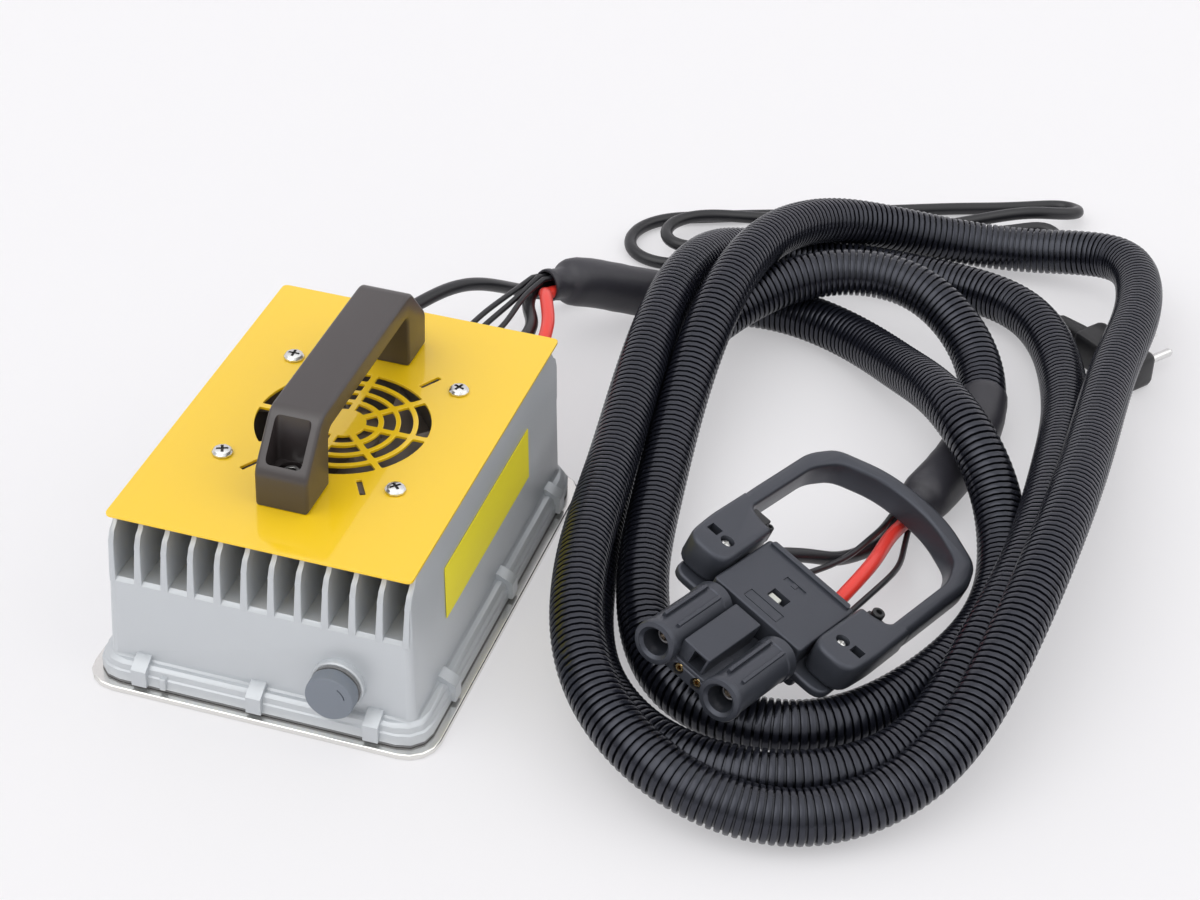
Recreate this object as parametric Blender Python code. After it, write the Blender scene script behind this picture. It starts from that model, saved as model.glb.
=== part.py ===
"""Forklift battery charger: finned die-cast housing with a top cover, fan and bridge handle,
a mains cord with an angled plug, and a long corrugated loom that ends in a charging connector.

Metres, +Z up. X runs to the right along the front, Y runs to the back. The origin is the centre
of the base plate's underside. Run it in Blender 4.5: every piece becomes one named object.
"""

import math

import bmesh
import bpy
import numpy as np
from mathutils import Euler, Matrix, Vector

GAP = 0.0003

# Base plate, gasket and flange
PLATE_X = 0.1666
PLATE_Y = 0.2244
PLATE_T = 0.003
PLATE_R = 0.015
FLANGE_X = 0.158
FLANGE_Y = 0.216
FLANGE_R = 0.013
FLANGE_H = 0.0096
GASKET_W = 0.008
GASKET_T = 0.0008

# Housing
WALL_FOOT_X = 0.1456
WALL_TOP_X = 0.140
WALL_FOOT_Y = 0.2044
WALL_TOP_Y = 0.2032
WALL_R = 0.004
WALL_T = 0.0033
SHOULDER_H = 0.0526
SHOULDER_CHAMFER = 0.0017
ROOF_T = 0.007
FINS = 12
FIN_H = 0.0312
FIN_ROOT_T = 0.0037
FIN_TOP_T = 0.002
FIN_NOSE_SETBACK = 0.009
FIN_NOSE_H = 0.0132

LUG_W = 0.0072
LUG_OUT = 0.0022
LUG_H = 0.0131
FRONT_LUGS = (-0.0554, -0.0003, 0.0549)
SIDE_LUGS = (-0.069, 0.009, 0.080)

# Top cover and its grille
COVER_X = 0.142
COVER_Y = 0.200
COVER_T = 0.0015
COVER_R = 0.003
GRILLE_SECTORS = 8
GRILLE_SPOKE_W = 0.005
GRILLE_RINGS = ((0.0107, 0.0161), (0.0187, 0.0239), (0.0264, 0.0318), (0.0344, 0.0401))
SLIT_AT = (0.026, 0.044)
SLIT_L = 0.0115
SLIT_W = 0.0026

# Fan
FAN_SIDE = 0.092
FAN_H = 0.0254
FAN_HOLES = 0.0825
FAN_HOLE_D = 0.0046
FAN_CORNER_R = 0.004
DUCT_R = 0.0445
TIP_CLEARANCE = 0.001
HUB_R = 0.018
HUB_WALL = 0.0022
BLADES = 7
BLADE_T = 0.0014
STRUT_W = 0.005
STRUT_T = 0.0025
SHAFT_R = 0.0015
SHAFT_CLEARANCE = 0.0004
POCKET_CLEARANCE = 0.001

# Cover screws
SCREW_HEAD_R = 0.0049
SCREW_HEAD_H = 0.0026
SCREW_SHANK_R = 0.002
SCREW_SHANK_L = 0.012
RECESS_W = 0.0012
RECESS_DEPTH = 0.0011

# Bridge handle
HANDLE_W = 0.025
HANDLE_FRONT = -0.0715
HANDLE_REAR = 0.0746
FOOT_FRONT_L = 0.0247
FOOT_REAR_L = 0.0216
HANDLE_H = 0.0395
HANDLE_SHOULDER_H = 0.0177
HANDLE_SLOPE_RUN = 0.0185
GRIP_T = 0.0102
HANDLE_EDGE_R = 0.0011
POCKET_W = 0.017
POCKET_WALL = 0.0025
POCKET_FLOOR_H = 0.0137
COUNTERBORE_R = 0.0056
COUNTERBORE_FLOOR_H = 0.0077
CAP_HEAD_R = 0.00425
CAP_HEAD_H = 0.005
CAP_SHANK_R = 0.0025
CAP_SHANK_L = 0.020
CAP_SOCKET_R = 0.0022
BOSS_R = 0.0058

# Vent plug
VENT_X = 0.0378
VENT_Z = 0.0278
VENT_BOSS_R = 0.0125
VENT_BOSS_OUT = 0.003
VENT_BORE_R = 0.0063
VENT_SEAL_T = 0.0012
VENT_HEAD_R = 0.0114
VENT_HEAD_L = 0.0078
VENT_STEM_R = 0.006

# Side label
LABEL_FRONT = -0.060
LABEL_REAR = 0.0536
LABEL_LOW = 0.0408
LABEL_HIGH = 0.0682
LABEL_T = 0.0003

# Cords
MAINS_D = 0.007
LEAD_D = 0.0068
WIRE_D = 0.003
CONDUIT_D = 0.025
BOOT_D = 0.026
BOOT_NECK_D = 0.017
BOOT_NECK_L = 0.015
BOOT_FLARE_L = 0.008
BOOT_START_L = 0.095
BOOT_END_L = 0.115
END_STEP = 0.0012
MAINS_GLAND_AT = (-0.033, 0.047)
RED_GLAND_AT = (0.048, 0.044)
BLACK_GLAND_AT = (0.022, 0.044)
GROMMET_AT = (-0.002, 0.043)
GLAND_R = 0.0095
GLAND_L = 0.018
BUSH_R = 0.0075
BUSH_L = 0.009
REAR_HOLE_L = 0.024
START_STRAIGHT = 0.004
LEAD_SPACING = 0.012

# Connector, in its own frame: nose towards -Y, grip towards +Y, seen from above
CONNECTOR_AT = (0.1939, -0.0293, 0.028)
CONNECTOR_TURN = (-9.1, 18.9, -21.34)
BASE_HALF_W = 0.045
BASE_FRONT = 0.002
BASE_REAR = 0.047
BASE_LOW = 0.008
BASE_EDGE_LOW = 0.0133
BASE_FLAT_HALF_W = 0.028
BASE_HIGH = 0.017
SHELL_HALF_W = 0.0254
SHELL_FRONT = 0.0
SHELL_REAR = 0.0494
SHELL_TOP = 0.0284
BARREL_X = 0.0187
BARREL_Z = 0.0190
BARREL_R = 0.0090
BARREL_FACE = -0.0488
BARREL_BORE_R = 0.0066
BARREL_BORE_L = 0.036
MAIN_CONTACT_R = 0.0042
MAIN_CONTACT_L = 0.024
AUX_X = 0.0051
AUX_Z = 0.0134
AUX_BORE_R = 0.0028
AUX_CONTACT_R = 0.0018
AUX_L = 0.016
AUX_BORE_L = 0.020
NOSE_FACE = -0.044
NOSE_HALF_W = 0.0265
NOSE_LOW = 0.0102
MIDDLE_BLOCK_X = (-0.0115, 0.0028)
MIDDLE_BLOCK_TOP = 0.0268
BARREL_RIBS_AT = (-0.0042, 0.0030)
BARREL_RIB_T = 0.0016
LUG_SCREW_AT = (0.0343, 0.0217)
LUG_SLOT_AT = (0.0418, 0.0223)
LUG_SLOT = (0.0044, 0.0054)
CONNECTOR_SCREW_R = 0.0031
CONNECTOR_SCREW_SUNK = 0.0042
LUG_INNER = 0.026
LUG_OUTER = 0.048
LUG_FRONT = 0.008
HANDLE_TOP = 0.033
GRIP_LOW = 0.0185
GRIP_HALF_W = 0.0501
GRIP_CORNER_Y = 0.1318
GRIP_MID_Y = 0.1479
WINDOW_HALF_W = 0.0417
WINDOW_CORNER_Y = 0.1207
WINDOW_MID_Y = 0.1333
CORNER_SETBACK = 0.016
KEY_AT = (-0.0003, 0.0208)
KEY_SIDE = 0.007
KEY_WELL_DEPTH = 0.004
RED_LEAD_X = 0.0155
BLACK_LEAD_X = -0.018
FRONT_WIRES_X = (-0.004, 0.0230)

# Plug, in its own frame: cord towards -X, pins towards +Y
PLUG_AT = (0.318, 0.303, 0.0105)
PLUG_TURN = -36.9
PLUG_L = 0.043
PLUG_DEPTH = 0.022
PLUG_H = 0.020
RELIEF_L = 0.020
EARTH_PIN_R = 0.0024
EARTH_PIN_L = 0.020
BLADE_SPACING = 0.0127
EARTH_SPACING = 0.0119
BLADE_W = 0.0063
BLADE_PIN_T = 0.0015
BLADE_PIN_L = 0.017

# Inner pieces
BOARD_X = 0.124
BOARD_Y = 0.176
BOARD_T = 0.0016
BOARD_Z = 0.0111
POST_R = 0.004
POST_AT = (0.057, 0.082)
CORE_AT = (-0.022, 0.022)
CORE_W = 0.048
CORE_H = 0.032
CORE_D = 0.024
CORE_LEG = 0.009
WINDING_OUT = 0.004
CAPACITOR_R = 0.011
CAPACITOR_H = 0.031
CAPACITORS_AT = ((0.030, -0.052), (0.030, -0.022))
HEAT_BAR_AT = (-0.051, -0.005)
HEAT_BAR_T = 0.008
HEAT_BAR_L = 0.130
HEAT_BAR_H = 0.018

# Routes: hand-chosen points, read as smooth curves
LOOM_ROUTE = (
    (0.0265, 0.2175, 0.0415), (0.036, 0.235, 0.036), (0.058, 0.257, 0.0235),
    (0.094, 0.276, 0.0135),
    (0.137, 0.283, 0.013), (0.182, 0.267, 0.015), (0.217, 0.231, 0.025),
    (0.248, 0.186, 0.0395), (0.264, 0.163, 0.0395), (0.279, 0.143, 0.031),
    (0.293, 0.110, 0.018), (0.297, 0.066, 0.013), (0.289, 0.028, 0.013), (0.276, -0.001, 0.0128),
    (0.2285, -0.0478, 0.0128),
    (0.175, -0.041, 0.0145), (0.146, 0.001, 0.019), (0.129, 0.080, 0.025),
    (0.121, 0.158, 0.038), (0.121, 0.222, 0.053), (0.129, 0.290, 0.052),
    (0.160, 0.353, 0.034), (0.205, 0.377, 0.020), (0.260, 0.387, 0.017),
    (0.306, 0.379, 0.026), (0.324, 0.335, 0.033), (0.3235, 0.250, 0.042),
    (0.323, 0.160, 0.051), (0.320, 0.060, 0.0565), (0.311, -0.015, 0.044),
    (0.290, -0.072, 0.0245), (0.245, -0.105, 0.015), (0.190, -0.107, 0.023),
    (0.144, -0.074, 0.034), (0.119, -0.014, 0.041), (0.106, 0.075, 0.0385),
    (0.097, 0.160, 0.045), (0.094, 0.240, 0.047), (0.0965, 0.276, 0.0405),
    (0.105, 0.308, 0.029),
    (0.140, 0.335, 0.0165), (0.205, 0.342, 0.013), (0.262, 0.324, 0.0165),
    (0.297, 0.260, 0.018), (0.308, 0.165, 0.0295), (0.308, 0.075, 0.0355),
    (0.298, 0.005, 0.0285), (0.278, -0.050, 0.0155), (0.230, -0.082, 0.013),
    (0.175, -0.078, 0.013), (0.140, -0.048, 0.0135), (0.117, 0.010, 0.014),
    (0.101, 0.102, 0.013), (0.098, 0.180, 0.019), (0.118, 0.243, 0.029),
    (0.160, 0.283, 0.040), (0.210, 0.289, 0.039), (0.249, 0.261, 0.0235),
    (0.262, 0.210, 0.0142), (0.250, 0.140, 0.0142), (0.244, 0.119, 0.0148),
)
MAINS_ROUTE = (
    (-0.031, 0.141, 0.052), (-0.024, 0.160, 0.053), (-0.016, 0.182, 0.0505),
    (-0.009, 0.199, 0.0455), (0.000, 0.220, 0.034), (0.008, 0.240, 0.021),
    (0.021, 0.262, 0.009), (0.039, 0.282, 0.004), (0.062, 0.299, 0.004), (0.084, 0.312, 0.004),
    (0.104, 0.328, 0.004), (0.124, 0.348, 0.004), (0.142, 0.366, 0.004),
    (0.165, 0.379, 0.004), (0.190, 0.388, 0.004), (0.215, 0.395, 0.004),
    (0.240, 0.400, 0.004), (0.260, 0.405, 0.005), (0.271, 0.415, 0.0075),
    (0.264, 0.424, 0.010), (0.248, 0.420, 0.010), (0.225, 0.411, 0.007),
    (0.200, 0.403, 0.006), (0.180, 0.397, 0.009), (0.160, 0.391, 0.0118),
    (0.140, 0.386, 0.0118), (0.118, 0.380, 0.0115), (0.095, 0.374, 0.0115),
    (0.071, 0.366, 0.0115), (0.060, 0.355, 0.0115), (0.058, 0.342, 0.0115),
    (0.065, 0.332, 0.0118), (0.080, 0.332, 0.0118), (0.097, 0.342, 0.0115),
    (0.112, 0.355, 0.007), (0.130, 0.372, 0.004), (0.150, 0.386, 0.004),
    (0.172, 0.400, 0.004), (0.200, 0.414, 0.005), (0.228, 0.426, 0.010),
    (0.252, 0.434, 0.014), (0.269, 0.443, 0.012), (0.275, 0.455, 0.008),
    (0.267, 0.464, 0.0045), (0.250, 0.459, 0.004), (0.231, 0.450, 0.004),
    (0.209, 0.441, 0.004), (0.180, 0.428, 0.004), (0.150, 0.414, 0.004),
    (0.121, 0.400, 0.004), (0.095, 0.389, 0.004), (0.068, 0.377, 0.004),
    (0.050, 0.367, 0.004), (0.040, 0.354, 0.004), (0.038, 0.339, 0.004),
    (0.044, 0.327, 0.004), (0.057, 0.321, 0.004), (0.072, 0.323, 0.004),
    (0.090, 0.331, 0.0055), (0.106, 0.339, 0.0105), (0.120, 0.346, 0.0118),
    (0.134, 0.354, 0.0105), (0.150, 0.361, 0.006), (0.168, 0.367, 0.004),
    (0.190, 0.371, 0.004), (0.222, 0.371, 0.004), (0.245, 0.366, 0.004),
    (0.262, 0.351, 0.0065),
)
REAR_RED_ROUTE = (
    (0.0485, 0.133, 0.048), (0.046, 0.155, 0.0505), (0.0425, 0.172, 0.0500),
    (0.036, 0.190, 0.0485), (0.031, 0.203, 0.0458),
)
REAR_BLACK_ROUTE = (
    (0.029, 0.135, 0.046), (0.0340, 0.155, 0.0465), (0.0325, 0.176, 0.0445), (0.0234, 0.198, 0.0411),
)
REAR_WIRE_ROUTES = (
    ((-0.005, 0.126, 0.0455), (0.003, 0.144, 0.0490), (0.008, 0.165, 0.0495), (0.0145, 0.195, 0.0475)),
    ((-0.001, 0.126, 0.0440), (0.0068, 0.144, 0.0462), (0.012, 0.163, 0.0470), (0.018, 0.192, 0.0465)),
    ((0.003, 0.126, 0.0425), (0.014, 0.146, 0.0450), (0.021, 0.166, 0.0475), (0.0225, 0.190, 0.0485)),
)
FRONT_RED_ROUTE = ((0.2425, 0.099, 0.0195), (0.241, 0.080, 0.0245), (0.240, 0.050, 0.034))
FRONT_BLACK_ROUTE = (
    (0.238, 0.098, 0.0145), (0.233, 0.080, 0.0195), (0.226, 0.063, 0.026), (0.221, 0.052, 0.032),
    (0.2125, 0.040, 0.040),
)
FRONT_WIRE_ROUTES = (
    ((0.2365, 0.098, 0.0215), (0.234, 0.080, 0.027), (0.229, 0.058, 0.032)),
    ((0.248, 0.098, 0.0125), (0.2495, 0.080, 0.017), (0.249, 0.060, 0.024), (0.246, 0.040, 0.030)),
)

HOUSING_Z = PLATE_T + GASKET_T + 2 * GAP
SHOULDER_Z = HOUSING_Z + SHOULDER_H
HOUSING_TOP = SHOULDER_Z + FIN_H
COVER_Z = HOUSING_TOP + GAP
COVER_TOP = COVER_Z + COVER_T
FLANGE_TOP = HOUSING_Z + FLANGE_H
HANDLE_Z = COVER_TOP + GAP
FAN_Z = COVER_Z - GAP - FAN_H
CAVITY_TOP = SHOULDER_Z - ROOF_T

CHARCOAL = ((0.022, 0.021, 0.023), 0.55, 0.0)
RIBBED_BLACK = ((0.010, 0.010, 0.012), 0.42, 0.0)
CORD_BLACK = ((0.012, 0.012, 0.014), 0.5, 0.0)
CORD_RED = ((0.78, 0.055, 0.04), 0.4, 0.0)
CAST_SILVER = ((0.56, 0.58, 0.60), 0.45, 0.6)
SHEET_BRIGHT = ((0.80, 0.79, 0.76), 0.2, 1.0)
COVER_YELLOW = ((0.90, 0.58, 0.03), 0.4, 0.0)
LABEL_YELLOW = ((0.80, 0.70, 0.05), 0.45, 0.0)
VENT_GREY = ((0.20, 0.23, 0.28), 0.5, 0.0)
SCREW_STEEL = ((0.62, 0.62, 0.62), 0.3, 1.0)
BRASS = ((0.75, 0.55, 0.25), 0.3, 1.0)
SEAL_BLACK = ((0.015, 0.015, 0.015), 0.8, 0.0)
BOARD_GREEN = ((0.03, 0.16, 0.06), 0.5, 0.0)
CORE_GREY = ((0.05, 0.05, 0.055), 0.7, 0.0)
COPPER = ((0.60, 0.26, 0.10), 0.35, 1.0)
KEY_PALE = ((0.75, 0.75, 0.72), 0.5, 0.0)


def clear_scene():
    for old in list(bpy.data.objects):
        bpy.data.objects.remove(old, do_unlink=True)


def dress(obj, look):
    color, roughness, metallic = look
    material = bpy.data.materials.new(obj.name)
    material.use_nodes = True
    shader = material.node_tree.nodes["Principled BSDF"]
    shader.inputs["Base Color"].default_value = (*color, 1.0)
    shader.inputs["Roughness"].default_value = roughness
    shader.inputs["Metallic"].default_value = metallic
    material.diffuse_color = (*color, 1.0)
    obj.data.materials.append(material)


def add_object(name, bm, look=None, parent=None):
    """Turns the bmesh into an object; without a look it is a helper that a Boolean uses."""
    bmesh.ops.recalc_face_normals(bm, faces=bm.faces)
    mesh = bpy.data.meshes.new(name)
    bm.to_mesh(mesh)
    bm.free()
    obj = bpy.data.objects.new(name, mesh)
    bpy.context.scene.collection.objects.link(obj)
    obj.parent = parent
    if look is None:
        obj.hide_render = True
        obj.display_type = "WIRE"
    else:
        dress(obj, look)
        mesh.shade_smooth()
        mesh.set_sharp_from_angle(angle=math.radians(35))
    return obj


def combine(obj, helper, operation):
    modifier = obj.modifiers.new(f"{operation.title()} {helper.name}", "BOOLEAN")
    modifier.operation = operation
    modifier.solver = "EXACT"
    modifier.object = helper


def empty(name, location, rotation=(0.0, 0.0, 0.0)):
    obj = bpy.data.objects.new(name, None)
    obj.location = location
    obj.rotation_euler = Euler([math.radians(a) for a in rotation], "XYZ")
    bpy.context.scene.collection.objects.link(obj)
    return obj


def corner_arc(cx, cy, radius, start, steps):
    """A quarter turn of points from the start angle in degrees."""
    return [
        (
            cx + radius * math.cos(math.radians(start + 90 * i / steps)),
            cy + radius * math.sin(math.radians(start + 90 * i / steps)),
        )
        for i in range(steps + 1)
    ]


def rounded_rect(half_x, half_y, radius, steps=3):
    return (
        corner_arc(half_x - radius, half_y - radius, radius, 0, steps)
        + corner_arc(radius - half_x, half_y - radius, radius, 90, steps)
        + corner_arc(radius - half_x, radius - half_y, radius, 180, steps)
        + corner_arc(half_x - radius, radius - half_y, radius, 270, steps)
    )


def offset_outline(outline, distance):
    """Moves each corner of a closed anticlockwise outline outwards by the distance."""
    moved = []
    for i, point in enumerate(outline):
        here = Vector(point)
        before = (here - Vector(outline[i - 1])).normalized()
        after = (Vector(outline[(i + 1) % len(outline)]) - here).normalized()
        normal = Vector((before.y + after.y, -before.x - after.x)).normalized()
        spread = max(0.3, normal.dot(Vector((before.y, -before.x))))
        moved.append(tuple(here + normal * distance / spread))
    return moved


def skin(bm, rings):
    """Closed skin over rings of equal length, with a flat cap at each end."""
    rows = [[bm.verts.new(point) for point in ring] for ring in rings]
    for low, high in zip(rows, rows[1:]):
        for i in range(len(low)):
            j = (i + 1) % len(low)
            bm.faces.new((low[i], low[j], high[j], high[i]))
    bm.faces.new(rows[0][::-1])
    bm.faces.new(rows[-1])


def lay(outline, height, axis):
    """Puts a flat outline at a height along the axis."""
    if axis == "X":
        return [(height, a, b) for a, b in outline]
    if axis == "Y":
        return [(a, height, b) for a, b in outline]
    return [(a, b, height) for a, b in outline]


def prism(bm, outline, start, end, axis="Z"):
    skin(bm, [lay(outline, start, axis), lay(outline, end, axis)])


def block(bm, low, high, bevel=0.0, segments=2):
    """A box between two corners, with rounded edges where a bevel is given."""
    outline = [(low[0], low[1]), (high[0], low[1]), (high[0], high[1]), (low[0], high[1])]
    before = set(bm.edges)
    prism(bm, outline, low[2], high[2])
    if bevel:
        fresh = [edge for edge in bm.edges if edge not in before]
        bmesh.ops.bevel(
            bm, geom=fresh, offset=bevel, segments=segments, profile=0.5, affect="EDGES"
        )


def turned(bm, profile, sides, place=None):
    """Spins a profile of (radius, height) about Z, then moves it into place."""
    before = set(bm.verts)
    verts = [bm.verts.new((radius, 0.0, height)) for radius, height in profile]
    edges = [bm.edges.new(pair) for pair in zip(verts, verts[1:])]
    bmesh.ops.spin(
        bm,
        geom=verts + edges,
        cent=(0.0, 0.0, 0.0),
        axis=(0.0, 0.0, 1.0),
        angle=math.tau,
        steps=sides,
        use_merge=True,
    )
    fresh = [vert for vert in bm.verts if vert not in before]
    bmesh.ops.remove_doubles(bm, verts=fresh, dist=1e-6)
    if place is not None:
        fresh = [vert for vert in bm.verts if vert not in before]
        bmesh.ops.transform(bm, matrix=place, verts=fresh)


def towards(direction, at):
    """The matrix that turns +Z to the direction and moves the origin to the point."""
    turn = Vector((0, 0, 1)).rotation_difference(Vector(direction)).to_matrix().to_4x4()
    return Matrix.Translation(at) @ turn


def wall_half_x(z):
    rise = (z - FLANGE_TOP) / (HOUSING_TOP - FLANGE_TOP)
    return (WALL_FOOT_X + (WALL_TOP_X - WALL_FOOT_X) * rise) / 2


def wall_half_y(z):
    rise = (z - FLANGE_TOP) / (SHOULDER_Z - FLANGE_TOP)
    return (WALL_FOOT_Y + (WALL_TOP_Y - WALL_FOOT_Y) * rise) / 2


def base_screw_points():
    side = (FLANGE_X + WALL_FOOT_X) / 4 + 0.0005
    end = (FLANGE_Y + WALL_FOOT_Y) / 4 + 0.0005
    return [
        (FRONT_LUGS[0], -end), (FRONT_LUGS[2], -end), (FRONT_LUGS[0], end),
        (FRONT_LUGS[2], end), (-side, SIDE_LUGS[1]), (side, SIDE_LUGS[1]),
    ]


def base_screw_profile(grow):
    """Countersunk head flush with the plate's underside and a shank up into the flange."""
    head = 0.0034 + grow
    shank = 0.0017 + grow
    top = HOUSING_Z + 0.006 + grow
    bottom = -0.001 if grow else GAP
    return [
        (0.0, bottom), (head, bottom), (head, 0.0006), (shank, 0.0006 + head - shank),
        (shank, top), (0.0, top),
    ]


def build_base():
    holes = bmesh.new()
    for x, y in base_screw_points():
        turned(holes, base_screw_profile(GAP), 8, Matrix.Translation((x, y, 0.0)))
    holes = add_object("cut_base_screws", holes)

    bm = bmesh.new()
    edge = 0.0005
    skin(bm, [
        lay(rounded_rect(PLATE_X / 2 - edge, PLATE_Y / 2 - edge, PLATE_R, 4), 0.0, "Z"),
        lay(rounded_rect(PLATE_X / 2, PLATE_Y / 2, PLATE_R, 4), edge, "Z"),
        lay(rounded_rect(PLATE_X / 2, PLATE_Y / 2, PLATE_R, 4), PLATE_T - edge, "Z"),
        lay(rounded_rect(PLATE_X / 2 - edge, PLATE_Y / 2 - edge, PLATE_R, 4), PLATE_T, "Z"),
    ])
    plate = add_object("base_plate", bm, SHEET_BRIGHT)
    combine(plate, holes, "DIFFERENCE")

    bm = bmesh.new()
    low = PLATE_T + GAP
    prism(bm, rounded_rect(FLANGE_X / 2, FLANGE_Y / 2, FLANGE_R), low, low + GASKET_T)
    gasket = add_object("base_gasket", bm, SEAL_BLACK)
    bm = bmesh.new()
    prism(
        bm,
        rounded_rect(FLANGE_X / 2 - GASKET_W, FLANGE_Y / 2 - GASKET_W, FLANGE_R - GASKET_W),
        low - 0.001,
        low + GASKET_T + 0.001,
    )
    combine(gasket, add_object("cut_gasket", bm), "DIFFERENCE")
    combine(gasket, holes, "DIFFERENCE")

    for number, (x, y) in enumerate(base_screw_points(), 1):
        bm = bmesh.new()
        turned(bm, base_screw_profile(0.0), 8)
        screw = add_object(f"base_screw_{number}", bm, SCREW_STEEL)
        screw.location = (x, y, 0.0)
    return holes


def fin_centres():
    pitch = (WALL_TOP_X - FIN_TOP_T) / (FINS - 1)
    return [(i - (FINS - 1) / 2) * pitch for i in range(FINS)]


def lug_outline(wall):
    """Side view of a lug: along the outward direction and up."""
    out = wall["edge"] + LUG_OUT
    inner = wall["foot"] - 0.0022
    low = HOUSING_Z + GAP
    return [
        (inner, low), (out, low), (out, FLANGE_TOP - 0.0008), (out - 0.0008, FLANGE_TOP),
        (wall["foot"] + 0.001, HOUSING_Z + LUG_H), (inner, HOUSING_Z + LUG_H),
    ]


def build_lugs(bm):
    end = lug_outline({"edge": FLANGE_Y / 2, "foot": WALL_FOOT_Y / 2})
    side = lug_outline({"edge": FLANGE_X / 2, "foot": WALL_FOOT_X / 2})
    for x in FRONT_LUGS:
        for sign in (-1, 1):
            outline = [(sign * a, b) for a, b in end]
            prism(bm, outline, x - LUG_W / 2, x + LUG_W / 2, "X")
    for y in SIDE_LUGS:
        for sign in (-1, 1):
            outline = [(sign * a, b) for a, b in side]
            prism(bm, outline, y - LUG_W / 2, y + LUG_W / 2, "Y")


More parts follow.
